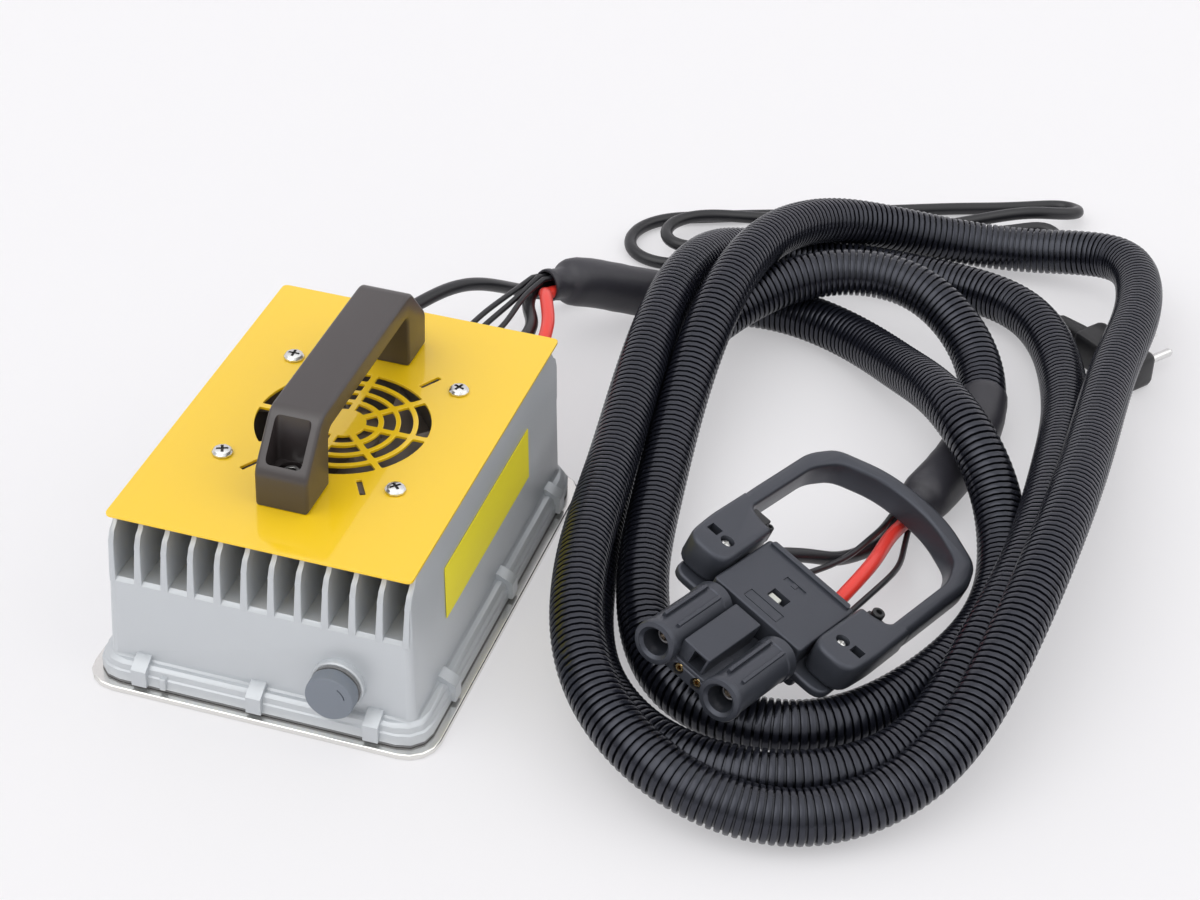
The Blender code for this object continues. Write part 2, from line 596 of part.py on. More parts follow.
def build_housing(screw_holes):
    flange_x = FLANGE_X / 2
    flange_y = FLANGE_Y / 2
    nose_z = HOUSING_TOP - FIN_NOSE_H
    chamfer_z = SHOULDER_Z - SHOULDER_CHAMFER
    fin_y = wall_half_y(chamfer_z) - SHOULDER_CHAMFER
    rings = [
        (flange_x, flange_y, FLANGE_R, HOUSING_Z),
        (flange_x, flange_y, FLANGE_R, HOUSING_Z + 0.005),
        (flange_x - 0.0008, flange_y - 0.0008, FLANGE_R, HOUSING_Z + 0.0056),
        (flange_x - 0.0014, flange_y - 0.0014, FLANGE_R, FLANGE_TOP - 0.0014),
        (flange_x - 0.003, flange_y - 0.003, FLANGE_R, FLANGE_TOP),
        (WALL_FOOT_X / 2 + 0.0008, WALL_FOOT_Y / 2 + 0.0008, 0.006, FLANGE_TOP),
        (wall_half_x(FLANGE_TOP + 0.001), WALL_FOOT_Y / 2, WALL_R, FLANGE_TOP + 0.001),
        (wall_half_x(chamfer_z), wall_half_y(chamfer_z), WALL_R, chamfer_z),
        (wall_half_x(SHOULDER_Z), fin_y, 0.0015, SHOULDER_Z),
        (wall_half_x(nose_z), fin_y, 0.001, nose_z),
        (wall_half_x(nose_z + 0.005), fin_y - 0.0019, 0.001, nose_z + 0.005),
        (wall_half_x(nose_z + 0.007), fin_y - 0.0045, 0.001, nose_z + 0.007),
        (WALL_TOP_X / 2, fin_y - FIN_NOSE_SETBACK, 0.001, HOUSING_TOP),
    ]
    bm = bmesh.new()
    skin(bm, [lay(rounded_rect(x, y, r), z, "Z") for x, y, r, z in rings])
    housing = add_object("housing", bm, CAST_SILVER)

    bm = bmesh.new()
    centres = fin_centres()
    above = 0.004
    grow = (FIN_ROOT_T - FIN_TOP_T) / 2
    for left, right in zip(centres, centres[1:]):
        low_left = left + FIN_ROOT_T / 2
        low_right = right - FIN_ROOT_T / 2
        spread = grow * (FIN_H + above) / FIN_H
        outline = [
            (low_left, SHOULDER_Z), (low_right, SHOULDER_Z),
            (low_right + spread, HOUSING_TOP + above), (low_left - spread, HOUSING_TOP + above),
        ]
        prism(bm, outline, -FLANGE_Y / 2 - 0.01, FLANGE_Y / 2 + 0.01, "Y")
    combine(housing, add_object("cut_fin_gaps", bm), "DIFFERENCE")

    bm = bmesh.new()
    build_lugs(bm)
    combine(housing, add_object("add_lugs", bm), "UNION")

    bm = bmesh.new()
    boss_face = -(WALL_FOOT_Y / 2 + VENT_BOSS_OUT)
    boss = [
        (0.0, -0.006), (VENT_BOSS_R, -0.006), (VENT_BOSS_R, -0.0006), (VENT_BOSS_R - 0.0006, 0.0),
        (0.0, 0.0),
    ]
    turned(bm, boss, 24, towards((0, -1, 0), (VENT_X, boss_face, VENT_Z)))
    for y in handle_screw_points():
        post = rod(BOSS_R, SHOULDER_Z - 0.002, HOUSING_TOP - 0.0005)
        turned(bm, post, 16, Matrix.Translation((0.0, y, 0.0)))
    combine(housing, add_object("add_bosses", bm), "UNION")

    bm = bmesh.new()
    foot = WALL_FOOT_X / 2 - WALL_T
    roof = wall_half_x(CAVITY_TOP) - WALL_T
    skin(bm, [
        lay(rounded_rect(foot, WALL_FOOT_Y / 2 - WALL_T, 0.003, 2), HOUSING_Z - 0.002, "Z"),
        lay(rounded_rect(roof, wall_half_y(CAVITY_TOP) - WALL_T, 0.003, 2), CAVITY_TOP, "Z"),
    ])
    pocket = FAN_SIDE / 2 + POCKET_CLEARANCE
    block(bm, (-pocket, -pocket, FAN_Z - GAP), (pocket, pocket, HOUSING_TOP + 0.005))
    combine(housing, add_object("cut_cavity", bm), "DIFFERENCE")

    bm = bmesh.new()
    for x in (-POST_AT[0], POST_AT[0]):
        for y in (-POST_AT[1], POST_AT[1]):
            low = BOARD_Z + BOARD_T + GAP
            turned(bm, rod(POST_R, low, CAVITY_TOP + 0.002), 8, Matrix.Translation((x, y, 0.0)))
    combine(housing, add_object("add_posts", bm), "UNION")

    bm = bmesh.new()
    along = WALL_FOOT_Y / 2 + 0.01
    bore = rod(VENT_BORE_R, -0.03, 0.002)
    turned(bm, bore, 16, towards((0, -1, 0), (VENT_X, boss_face, VENT_Z)))
    for (x, z), radius in rear_openings():
        turned(bm, rod(radius + GAP, -REAR_HOLE_L, 0.0), 12, towards((0, 1, 0), (x, along, z)))
    for y in handle_screw_points():
        low = HANDLE_Z + COUNTERBORE_FLOOR_H - CAP_SHANK_L - 0.001
        hole = rod(CAP_SHANK_R + GAP, low, HOUSING_TOP + 0.002)
        turned(bm, hole, 12, Matrix.Translation((0.0, y, 0.0)))
    combine(housing, add_object("cut_bores", bm), "DIFFERENCE")
    combine(housing, screw_holes, "DIFFERENCE")


def rear_openings():
    """Centre and stem radius of each cord entry in the rear wall."""
    return [
        (MAINS_GLAND_AT, GLAND_R * 0.65), (RED_GLAND_AT, BUSH_R * 0.75),
        (BLACK_GLAND_AT, BUSH_R * 0.75), (GROMMET_AT, BUSH_R * 0.75),
    ]


def handle_screw_points():
    front = HANDLE_FRONT + FOOT_FRONT_L / 2 - 0.0005
    rear = HANDLE_REAR - FOOT_REAR_L / 2 - 0.0003
    return front, rear


def rod(radius, low, high):
    """Half outline of a plain round rod or hole."""
    return [(0.0, low), (radius, low), (radius, high), (0.0, high)]


def grille_slot(inner, outer, centre, steps):
    """One slot between two spokes with parallel sides."""
    half = math.pi / GRILLE_SECTORS
    points = []
    for radius, direction in ((outer, 1), (inner, -1)):
        reach = half - math.asin(GRILLE_SPOKE_W / 2 / radius)
        for i in range(steps + 1):
            angle = centre + direction * reach * (2 * i / steps - 1)
            points.append((radius * math.cos(angle), radius * math.sin(angle)))
    return points


def build_cover():
    bm = bmesh.new()
    prism(bm, rounded_rect(COVER_X / 2, COVER_Y / 2, COVER_R), COVER_Z, COVER_TOP)
    cover = add_object("top_cover", bm, COVER_YELLOW)

    bm = bmesh.new()
    low = COVER_Z - 0.001
    high = COVER_TOP + 0.001
    for ring, (inner, outer) in enumerate(GRILLE_RINGS):
        for sector in range(GRILLE_SECTORS):
            centre = math.tau * (sector + 0.5) / GRILLE_SECTORS
            prism(bm, grille_slot(inner, outer, centre, 2 + (ring > 2)), low, high)
    for sign_x in (-1, 1):
        for sign_y in (-1, 1):
            middle = Vector((sign_x * SLIT_AT[0], sign_y * SLIT_AT[1]))
            along = middle.normalized() * SLIT_L / 2
            across = Vector((-along.y, along.x)).normalized() * SLIT_W / 2
            corners = [
                middle - along - across, middle + along - across, middle + along + across,
                middle - along + across,
            ]
            prism(bm, [tuple(corner) for corner in corners], low, high)
    half = FAN_HOLES / 2
    hole = rod(SCREW_SHANK_R + GAP, low, high)
    for x in (-half, half):
        for y in (-half, half):
            turned(bm, hole, 10, Matrix.Translation((x, y, 0.0)))
    hole = rod(CAP_SHANK_R + GAP, low, high)
    for y in handle_screw_points():
        turned(bm, hole, 10, Matrix.Translation((0.0, y, 0.0)))
    combine(cover, add_object("cut_grille", bm), "DIFFERENCE")


def build_cover_screws():
    seat = COVER_TOP + GAP
    half = FAN_HOLES / 2
    profile = [
        (0.0, seat - SCREW_SHANK_L), (SCREW_SHANK_R, seat - SCREW_SHANK_L),
        (SCREW_SHANK_R, seat), (SCREW_HEAD_R, seat), (SCREW_HEAD_R, seat + SCREW_HEAD_H * 0.35),
        (SCREW_HEAD_R * 0.82, seat + SCREW_HEAD_H * 0.78), (SCREW_HEAD_R * 0.5, seat + SCREW_HEAD_H),
        (0.0, seat + SCREW_HEAD_H),
    ]
    arm = SCREW_HEAD_R * 0.55
    slot = RECESS_W / 2
    cross = [
        (arm, -slot), (arm, slot), (slot, slot), (slot, arm), (-slot, arm), (-slot, slot),
        (-arm, slot), (-arm, -slot), (-slot, -slot), (-slot, -arm), (slot, -arm), (slot, -slot),
    ]
    places = [(-half, -half), (half, -half), (half, half), (-half, half)]
    for number, (x, y) in enumerate(places, 1):
        bm = bmesh.new()
        turned(bm, profile, 10)
        screw = add_object(f"cover_screw_{number}", bm, SCREW_STEEL)
        bm = bmesh.new()
        prism(bm, cross, seat + SCREW_HEAD_H - RECESS_DEPTH, seat + SCREW_HEAD_H + 0.001)
        cutter = add_object(f"cut_recess_{number}", bm)
        for obj in (screw, cutter):
            obj.location = (x, y, 0.0)
            obj.rotation_euler = (0.0, 0.0, math.radians(23 * number))
        combine(screw, cutter, "DIFFERENCE")


def build_handle():
    top = HANDLE_Z + HANDLE_H
    shoulder = HANDLE_Z + HANDLE_SHOULDER_H
    under = top - GRIP_T
    front_inner = HANDLE_FRONT + FOOT_FRONT_L
    rear_inner = HANDLE_REAR - FOOT_REAR_L
    front_crest = HANDLE_FRONT + HANDLE_SLOPE_RUN
    rear_crest = HANDLE_REAR - HANDLE_SLOPE_RUN
    profile = [
        (HANDLE_FRONT, HANDLE_Z), (front_inner, HANDLE_Z), (front_inner + 0.001, under - 0.002),
        (front_inner + 0.003, under), (rear_inner - 0.0035, under), (rear_inner - 0.0015, under - 0.002),
        (rear_inner, HANDLE_Z), (HANDLE_REAR, HANDLE_Z), (HANDLE_REAR, shoulder),
        (rear_crest + 0.0005, top - 0.0022), (rear_crest - 0.002, top - 0.0005),
        (front_crest + 0.0025, top), (front_crest, top - 0.0018),
        (HANDLE_FRONT, shoulder),
    ]
    bm = bmesh.new()
    prism(bm, profile, -HANDLE_W / 2, HANDLE_W / 2, "X")
    long_edges = [
        edge for edge in bm.edges
        if abs(abs(edge.verts[0].co.x) - HANDLE_W / 2) < 1e-6
        and abs(edge.verts[0].co.x - edge.verts[1].co.x) < 1e-6
        and min(edge.verts[0].co.z, edge.verts[1].co.z) > HANDLE_Z + 1e-6
    ]
    bmesh.ops.bevel(bm, geom=long_edges, offset=HANDLE_EDGE_R, segments=2, profile=0.5, affect="EDGES")
    handle = add_object("bridge_handle", bm, CHARCOAL)

    bm = bmesh.new()
    bores = bmesh.new()
    floor = HANDLE_Z + POCKET_FLOOR_H
    outers = (HANDLE_FRONT, HANDLE_REAR)
    for outer, y in zip(outers, handle_screw_points()):
        inward = 1 if outer < 0 else -1
        near = outer + inward * POCKET_WALL
        far = outer + inward * (HANDLE_SLOPE_RUN - 0.001)
        low_y, high_y = sorted((near, far))
        block(bm, (-POCKET_W / 2, low_y, floor), (POCKET_W / 2, high_y, top + 0.01))
        ledge = HANDLE_Z + COUNTERBORE_FLOOR_H
        cut = [
            (0.0, HANDLE_Z - 0.001), (CAP_SHANK_R + GAP, HANDLE_Z - 0.001), (CAP_SHANK_R + GAP, ledge),
            (COUNTERBORE_R, ledge), (COUNTERBORE_R, floor + 0.001), (0.0, floor + 0.001),
        ]
        turned(bores, cut, 14, Matrix.Translation((0.0, y, 0.0)))
    combine(handle, add_object("cut_handle_pockets", bm), "DIFFERENCE")
    combine(handle, add_object("cut_handle_bores", bores), "DIFFERENCE")

    seat = HANDLE_Z + COUNTERBORE_FLOOR_H + GAP
    profile = [
        (0.0, seat - CAP_SHANK_L), (CAP_SHANK_R, seat - CAP_SHANK_L), (CAP_SHANK_R, seat),
        (CAP_HEAD_R, seat), (CAP_HEAD_R, seat + CAP_HEAD_H - 0.0004),
        (CAP_HEAD_R - 0.0004, seat + CAP_HEAD_H), (CAP_SOCKET_R, seat + CAP_HEAD_H),
        (CAP_SOCKET_R, seat + CAP_HEAD_H * 0.5), (0.0, seat + CAP_HEAD_H * 0.5),
    ]
    for number, y in enumerate(handle_screw_points(), 1):
        bm = bmesh.new()
        turned(bm, profile, 12)
        screw = add_object(f"handle_screw_{number}", bm, SCREW_STEEL)
        screw.location = (0.0, y, 0.0)


def build_fan():
    bm = bmesh.new()
    half = FAN_SIDE / 2
    prism(bm, rounded_rect(half, half, FAN_CORNER_R, 2), FAN_Z, FAN_Z + FAN_H)
    frame = add_object("fan_frame", bm, SHEET_BRIGHT)
    bm = bmesh.new()
    turned(bm, rod(DUCT_R, FAN_Z - 0.001, FAN_Z + FAN_H + 0.001), 40)
    combine(frame, add_object("cut_duct", bm), "DIFFERENCE")

    bore = SHAFT_R + SHAFT_CLEARANCE
    disc = FAN_Z + STRUT_T
    post = disc + 0.012
    bm = bmesh.new()
    turned(bm, [
        (0.0, FAN_Z + 0.0002), (HUB_R, FAN_Z + 0.0002), (HUB_R, disc), (0.005, disc), (0.005, post),
        (bore, post), (bore, disc + 0.001), (0.0, disc + 0.001),
    ], 24)
    combine(frame, add_object("add_motor_mount", bm), "UNION")
    bm = bmesh.new()
    for quarter in range(4):
        before = set(bm.verts)
        near = (HUB_R - 0.002, -STRUT_W / 2, FAN_Z + 0.0004)
        block(bm, near, (DUCT_R + 0.0012, STRUT_W / 2, disc - 0.0002))
        fresh = [vert for vert in bm.verts if vert not in before]
        turn = Matrix.Rotation(math.radians(45 + 90 * quarter), 4, "Z")
        bmesh.ops.transform(bm, matrix=turn, verts=fresh)
    combine(frame, add_object("add_struts", bm), "UNION")
    bm = bmesh.new()
    at = FAN_HOLES / 2
    hole = rod(FAN_HOLE_D / 2, FAN_Z - 0.001, FAN_Z + FAN_H + 0.001)
    for x in (-at, at):
        for y in (-at, at):
            turned(bm, hole, 10, Matrix.Translation((x, y, 0.0)))
    combine(frame, add_object("cut_fan_holes", bm), "DIFFERENCE")

    axle = empty("fan_axis", (0.0, 0.0, FAN_Z))
    low = STRUT_T + 0.001
    high = FAN_H - 0.0015
    roof = high - 0.002
    bm = bmesh.new()
    turned(bm, [
        (0.0, STRUT_T + 0.001 + GAP), (SHAFT_R, STRUT_T + 0.001 + GAP), (SHAFT_R, roof),
        (HUB_R - HUB_WALL, roof), (HUB_R - HUB_WALL, low), (HUB_R, low), (HUB_R, high - 0.0015),
        (HUB_R - 0.0015, high), (0.0, high),
    ], 28)
    rotor = add_object("fan_rotor", bm, CHARCOAL, axle)
    bm = bmesh.new()
    for number in range(BLADES):
        build_blade(bm, math.tau * number / BLADES, low + 0.0015, high - 0.002)
    combine(rotor, add_object("add_blades", bm, None, axle), "UNION")


def build_blade(bm, start, z_trail, z_lead):
    """A thin swept blade: both faces are split along the same diagonals."""
    rows = []
    inner = HUB_R - HUB_WALL * 0.4
    for share in (0.0, 0.5, 1.0):
        radius = inner + share * (DUCT_R - TIP_CLEARANCE - inner)
        width = (0.013 + 0.008 * share) / radius
        drop = z_lead - z_trail - 0.004 * share
        slope = math.atan2(drop, width * radius)
        side = BLADE_T / 2 * math.sin(slope) / radius
        rise = BLADE_T / 2 * math.cos(slope)
        row = []
        for sign in (1, -1):
            for part in (0.0, 0.5, 1.0):
                angle = start + 0.4 * share - part * width - sign * side
                height = z_lead - part * drop + sign * rise
                row.append(bm.verts.new((radius * math.cos(angle), radius * math.sin(angle), height)))
        rows.append(row)
    for near, far in zip(rows, rows[1:]):
        for face in (0, 3):
            for k in (face, face + 1):
                bm.faces.new((near[k], far[k], far[k + 1]))
                bm.faces.new((near[k], far[k + 1], near[k + 1]))
        for top, bottom in ((0, 3), (2, 5)):
            bm.faces.new((near[top], far[top], far[bottom], near[bottom]))
    for row in (rows[0], rows[-1]):
        for k in (0, 1):
            bm.faces.new((row[k], row[k + 1], row[k + 4], row[k + 3]))


def build_vent():
    boss_face = -(WALL_FOOT_Y / 2 + VENT_BOSS_OUT)
    seal_face = boss_face - GAP - VENT_SEAL_T
    bm = bmesh.new()
    inner = VENT_STEM_R + GAP
    outer = VENT_BOSS_R - 0.001
    ring = [(inner, 0.0), (outer, 0.0), (outer, VENT_SEAL_T), (inner, VENT_SEAL_T), (inner, 0.0)]
    turned(bm, ring, 16, towards((0, 1, 0), (VENT_X, seal_face, VENT_Z)))
    add_object("vent_seal", bm, SEAL_BLACK)

    head_back = seal_face - GAP
    bm = bmesh.new()
    rings = []
    for depth, share in ((0.0, 0.97), (0.0005, 1.0), (VENT_HEAD_L - 0.0012, 1.0), (VENT_HEAD_L, 0.9)):
        outline = []
        for i in range(24):
            angle = math.tau * i / 24
            radius = VENT_HEAD_R * share * (1 + 0.05 * math.cos(6 * angle))
            outline.append((VENT_X + radius * math.cos(angle), VENT_Z + radius * math.sin(angle)))
        rings.append(lay(outline, head_back - depth, "Y"))
    skin(bm, rings)
    plug = add_object("vent_plug", bm, VENT_GREY)
    bm = bmesh.new()
    turned(bm, rod(VENT_STEM_R, -0.001, 0.009), 16, towards((0, 1, 0), (VENT_X, head_back, VENT_Z)))
    combine(plug, add_object("add_vent_stem", bm), "UNION")


def build_label():
    bm = bmesh.new()
    rings = []
    for z in (LABEL_LOW, LABEL_HIGH):
        inner = wall_half_x(z) + GAP
        rings.append([
            (inner, LABEL_FRONT, z), (inner + LABEL_T, LABEL_FRONT, z),
            (inner + LABEL_T, LABEL_REAR, z), (inner, LABEL_REAR, z),
        ])
    skin(bm, rings)
    add_object("side_label", bm, LABEL_YELLOW)


def gland_end(at):
    """Where the gland's outer end lies behind the rear wall."""
    return Vector((at[0], wall_half_y(at[1]) + GAP, at[1]))


def build_glands():
    start = gland_end(MAINS_GLAND_AT)
    stem = GLAND_R * 0.65
    profile = [
        (0.0, -0.008), (stem, -0.008), (stem, 0.0), (GLAND_R, 0.0), (GLAND_R, 0.006),
        (GLAND_R - 0.001, 0.0065),
        (GLAND_R - 0.001, GLAND_L - 0.005), (GLAND_R * 0.6, GLAND_L), (0.0, GLAND_L),
    ]
    bm = bmesh.new()
    turned(bm, profile, 16, towards((0, 1, 0), start))
    add_object("mains_gland", bm, CHARCOAL)
    for name, at in (
        ("red_lead_bush", RED_GLAND_AT), ("black_lead_bush", BLACK_GLAND_AT),
        ("wire_grommet", GROMMET_AT),
    ):
        stem = BUSH_R * 0.75
        profile = [
            (0.0, -0.006), (stem, -0.006), (stem, 0.0), (BUSH_R, 0.0), (BUSH_R, 0.002),
            (BUSH_R * 0.75, BUSH_L), (0.0, BUSH_L),
        ]
        bm = bmesh.new()
        turned(bm, profile, 14, towards((0, 1, 0), gland_end(at)))
        add_object(name, bm, SEAL_BLACK)


def build_inner_pieces():
    top = BOARD_Z + BOARD_T + GAP
    bm = bmesh.new()
    block(bm, (-BOARD_X / 2, -BOARD_Y / 2, BOARD_Z), (BOARD_X / 2, BOARD_Y / 2, BOARD_Z + BOARD_T))
    add_object("circuit_board", bm, BOARD_GREEN)

    centre = Vector((*CORE_AT, top))
    half_w = CORE_W / 2
    half_d = CORE_D / 2
    bm = bmesh.new()
    block(bm, centre + Vector((-half_w, -half_d, 0.0)), centre + Vector((half_w, half_d, CORE_H)))
    core = add_object("transformer_core", bm, CORE_GREY)
    inner = half_w - CORE_LEG
    bm = bmesh.new()
    block(bm, centre + Vector((-inner, -half_d - 0.001, CORE_LEG)),
          centre + Vector((inner, half_d + 0.001, CORE_H - CORE_LEG)))
    combine(core, add_object("cut_core_window", bm), "DIFFERENCE")
    bm = bmesh.new()
    reach = inner - 0.001
    deep = half_d + WINDING_OUT
    block(bm, centre + Vector((-reach, -deep, CORE_LEG + 0.003)),
          centre + Vector((reach, deep, CORE_H + 0.003)), 0.001, 1)
    winding = add_object("transformer_winding", bm, COPPER)
    bm = bmesh.new()
    block(bm, centre + Vector((-half_w, -half_d - GAP, CORE_H - CORE_LEG - GAP)),
          centre + Vector((half_w, half_d + GAP, CORE_H + GAP)))
    combine(winding, add_object("cut_winding", bm), "DIFFERENCE")

    profile = [
        (0.0, top), (CAPACITOR_R, top), (CAPACITOR_R, top + CAPACITOR_H - 0.001),
        (CAPACITOR_R - 0.0015, top + CAPACITOR_H), (0.0, top + CAPACITOR_H),
    ]
    for number, spot in enumerate(CAPACITORS_AT, 1):
        bm = bmesh.new()
        turned(bm, profile, 14)
        capacitor = add_object(f"capacitor_{number}", bm, CORE_GREY)
        capacitor.location = (*spot, 0.0)
    bm = bmesh.new()
    near = Vector((HEAT_BAR_AT[0] - HEAT_BAR_T / 2, HEAT_BAR_AT[1] - HEAT_BAR_L / 2, top))
    block(bm, near, near + Vector((HEAT_BAR_T, HEAT_BAR_L, HEAT_BAR_H)))
    add_object("heat_bar", bm, SHEET_BRIGHT)


def curve_points(route, per_span=16):
    """A natural cubic curve through the route's points, sampled densely."""
    points = np.array(route, float)
    span = np.linalg.norm(np.diff(points, axis=0), axis=1)
    count = len(points)
    matrix = np.eye(count)
    right = np.zeros((count, 3))
    slope = np.diff(points, axis=0) / span[:, None]
    for i in range(1, count - 1):
        matrix[i, i - 1 : i + 2] = span[i - 1], 2 * (span[i - 1] + span[i]), span[i]
        right[i] = 6 * (slope[i] - slope[i - 1])
    bend = np.linalg.solve(matrix, right)
    dense = []
    for i in range(count - 1):
        for t in np.arange(per_span) / per_span * span[i]:
            rest = span[i] - t
            dense.append(
                (bend[i] * rest**3 + bend[i + 1] * t**3) / (6 * span[i])
                + (points[i] / span[i] - bend[i] * span[i] / 6) * rest
                + (points[i + 1] / span[i] - bend[i + 1] * span[i] / 6) * t
            )
    dense.append(points[-1])
    return np.array(dense)


def lengths_along(points):
    return np.concatenate([[0.0], np.cumsum(np.linalg.norm(np.diff(points, axis=0), axis=1))])


def cut_stretch(points, start, end):
    """The part of a dense line between two distances along it."""
    along = lengths_along(points)
    marks = np.concatenate([[start], along[(along > start) & (along < end)], [end]])
    return np.stack([np.interp(marks, along, points[:, k]) for k in range(3)], axis=1)


def thin_out(points, spacing, end_step=None):
    """Points at most the spacing apart, closer where the line bends and one near each end."""
    along = lengths_along(points)
    heading = np.diff(points, axis=0)
    heading /= np.linalg.norm(heading, axis=1)[:, None]
    turn = np.zeros(len(points))
    turn[1:-1] = np.linalg.norm(np.diff(heading, axis=0), axis=1)
    measure = np.cumsum(np.concatenate([[0.0], np.diff(along) / spacing + (turn[1:] + turn[:-1]) * 0.7]))
    count = max(3, int(math.ceil(measure[-1])) + 1)
    marks = np.interp(np.linspace(0.0, measure[-1], count), measure, along)
    if end_step:
        marks = np.sort(np.concatenate([marks, [end_step, along[-1] - end_step]]))
    return np.stack([np.interp(marks, along, points[:, k]) for k in range(3)], axis=1)


def cord_line(start, route, end, spacing):
    """Points along a cord whose first and last stretch run straight between two given points."""
    middle = thin_out(curve_points([start[1], *route, end[0]]), spacing)
    return [start[0], *middle, end[1]]


def add_tube(name, points, diameter, look, sides, radii=None):
    """A plain round tube along the points, with filled ends."""
    data = bpy.data.curves.new(name, "CURVE")
    data.dimensions = "3D"
    data.bevel_depth = diameter / 2
    data.bevel_resolution = (sides - 4) // 2
    data.use_fill_caps = True
    spline = data.splines.new("POLY")
    spline.points.add(len(points) - 1)
    for i, point in enumerate(points):
        spline.points[i].co = (*point, 1.0)
        spline.points[i].radius = 1.0 if radii is None else radii[i]
    obj = bpy.data.objects.new(name, data)
    bpy.context.scene.collection.objects.link(obj)
    dress(obj, look)
    return obj


def cross_section(axis):
    """Two directions across an axis: sideways, then upwards."""
    side = axis.cross(Vector((0, 0, 1))).normalized()
    return side, side.cross(axis).normalized()


REAR_BUNDLE = (
    (0.0042, -0.0021), (-0.0037, -0.0026), (-0.0062, 0.0030), (-0.0025, 0.0046), (0.0013, 0.0049),
)
FRONT_BUNDLE = ((0.0034, 0.0022), (-0.0034, -0.0022), (-0.0044, 0.0034), (0.0044, -0.0037))


def build_loom():
    """The boots and the corrugated conduit share one route. Returns its two mouths."""
    route = curve_points(LOOM_ROUTE)
    total = lengths_along(route)[-1]
    start = cut_stretch(route, 0.0, BOOT_START_L)
    middle = cut_stretch(route, BOOT_START_L + GAP, total - BOOT_END_L - GAP)
    end = cut_stretch(route, total - BOOT_END_L, total)
    neck = BOOT_NECK_D / BOOT_D

    def boot(name, points, mouth_first):
        stretch = lengths_along(points)[-1]
        flare = BOOT_NECK_L + BOOT_FLARE_L
        marks = [0.0, END_STEP, BOOT_NECK_L / 2, BOOT_NECK_L, BOOT_NECK_L + BOOT_FLARE_L / 2, flare]
        marks += list(np.linspace(flare, stretch, 5))[1:-1] + [stretch - END_STEP, stretch]
        sizes = [neck] * 4 + [(1 + neck) / 2] + [1.0] * 6
        if not mouth_first:
            marks = [stretch - mark for mark in marks][::-1]
            sizes = sizes[::-1]
        along = lengths_along(points)
        spots = np.stack([np.interp(marks, along, points[:, k]) for k in range(3)], axis=1)
        add_tube(name, spots, BOOT_D, CORD_BLACK, 12, sizes)

    boot("loom_boot_charger", start, True)
    add_tube("loom_conduit", thin_out(middle, 2.8 * CONDUIT_D, END_STEP), CONDUIT_D, RIBBED_BLACK, 10)
    boot("loom_boot_connector", end, False)
    first = (Vector(route[1]) - Vector(route[0])).normalized()
    last = (Vector(route[-2]) - Vector(route[-1])).normalized()
    return (Vector(route[0]), first), (Vector(route[-1]), last)


def lead_into(mouth, slot):
    """Two points that bring a lead straight into its place in a boot's mouth."""
    centre, inward = mouth
    side, up = cross_section(inward)
    spot = centre + side * slot[0] + up * slot[1]
    return spot - inward * 0.005, spot - inward * GAP


def build_leads(charger_mouth, connector_mouth, connector):
    def rear(name, at, aside, route, slot, diameter, look):
        start = gland_end(at) + Vector((aside, BUSH_L + GAP, 0.0))
        entry = lead_into(charger_mouth, slot)
        line = cord_line((start, start + Vector((0.0, START_STRAIGHT, 0.0))), route, entry, LEAD_SPACING)
        add_tube(name, line, diameter, look, 8)

    rear("rear_lead_red", RED_GLAND_AT, 0.0, REAR_RED_ROUTE, REAR_BUNDLE[0], LEAD_D, CORD_RED)
    rear("rear_lead_black", BLACK_GLAND_AT, 0.0, REAR_BLACK_ROUTE, REAR_BUNDLE[1], LEAD_D, CORD_BLACK)
    for number, route in enumerate(REAR_WIRE_ROUTES):
        aside = (number - 1) * (WIRE_D + 0.0007)
        slot = REAR_BUNDLE[number + 2]
        rear(f"rear_wire_{number + 1}", GROMMET_AT, aside, route, slot, WIRE_D, CORD_BLACK)

    frame = connector.matrix_basis
    middle = (BASE_HIGH + GAP + SHELL_TOP) / 2

    def front(name, x, route, slot, diameter, look):
        end = frame @ Vector((x, SHELL_REAR + GAP, middle))
        before = frame @ Vector((x, SHELL_REAR + 0.004, middle))
        entry = lead_into(connector_mouth, slot)
        line = cord_line(entry[::-1], route, (before, end), LEAD_SPACING)
        add_tube(name, line, diameter, look, 8)

    front("front_lead_red", RED_LEAD_X, FRONT_RED_ROUTE, FRONT_BUNDLE[0], LEAD_D, CORD_RED)
    front("front_lead_black", BLACK_LEAD_X, FRONT_BLACK_ROUTE, FRONT_BUNDLE[1], LEAD_D, CORD_BLACK)
    for number, x in enumerate(FRONT_WIRES_X):
        route = FRONT_WIRE_ROUTES[number]
        front(f"front_wire_{number + 1}", x, route, FRONT_BUNDLE[number + 2], WIRE_D, CORD_BLACK)


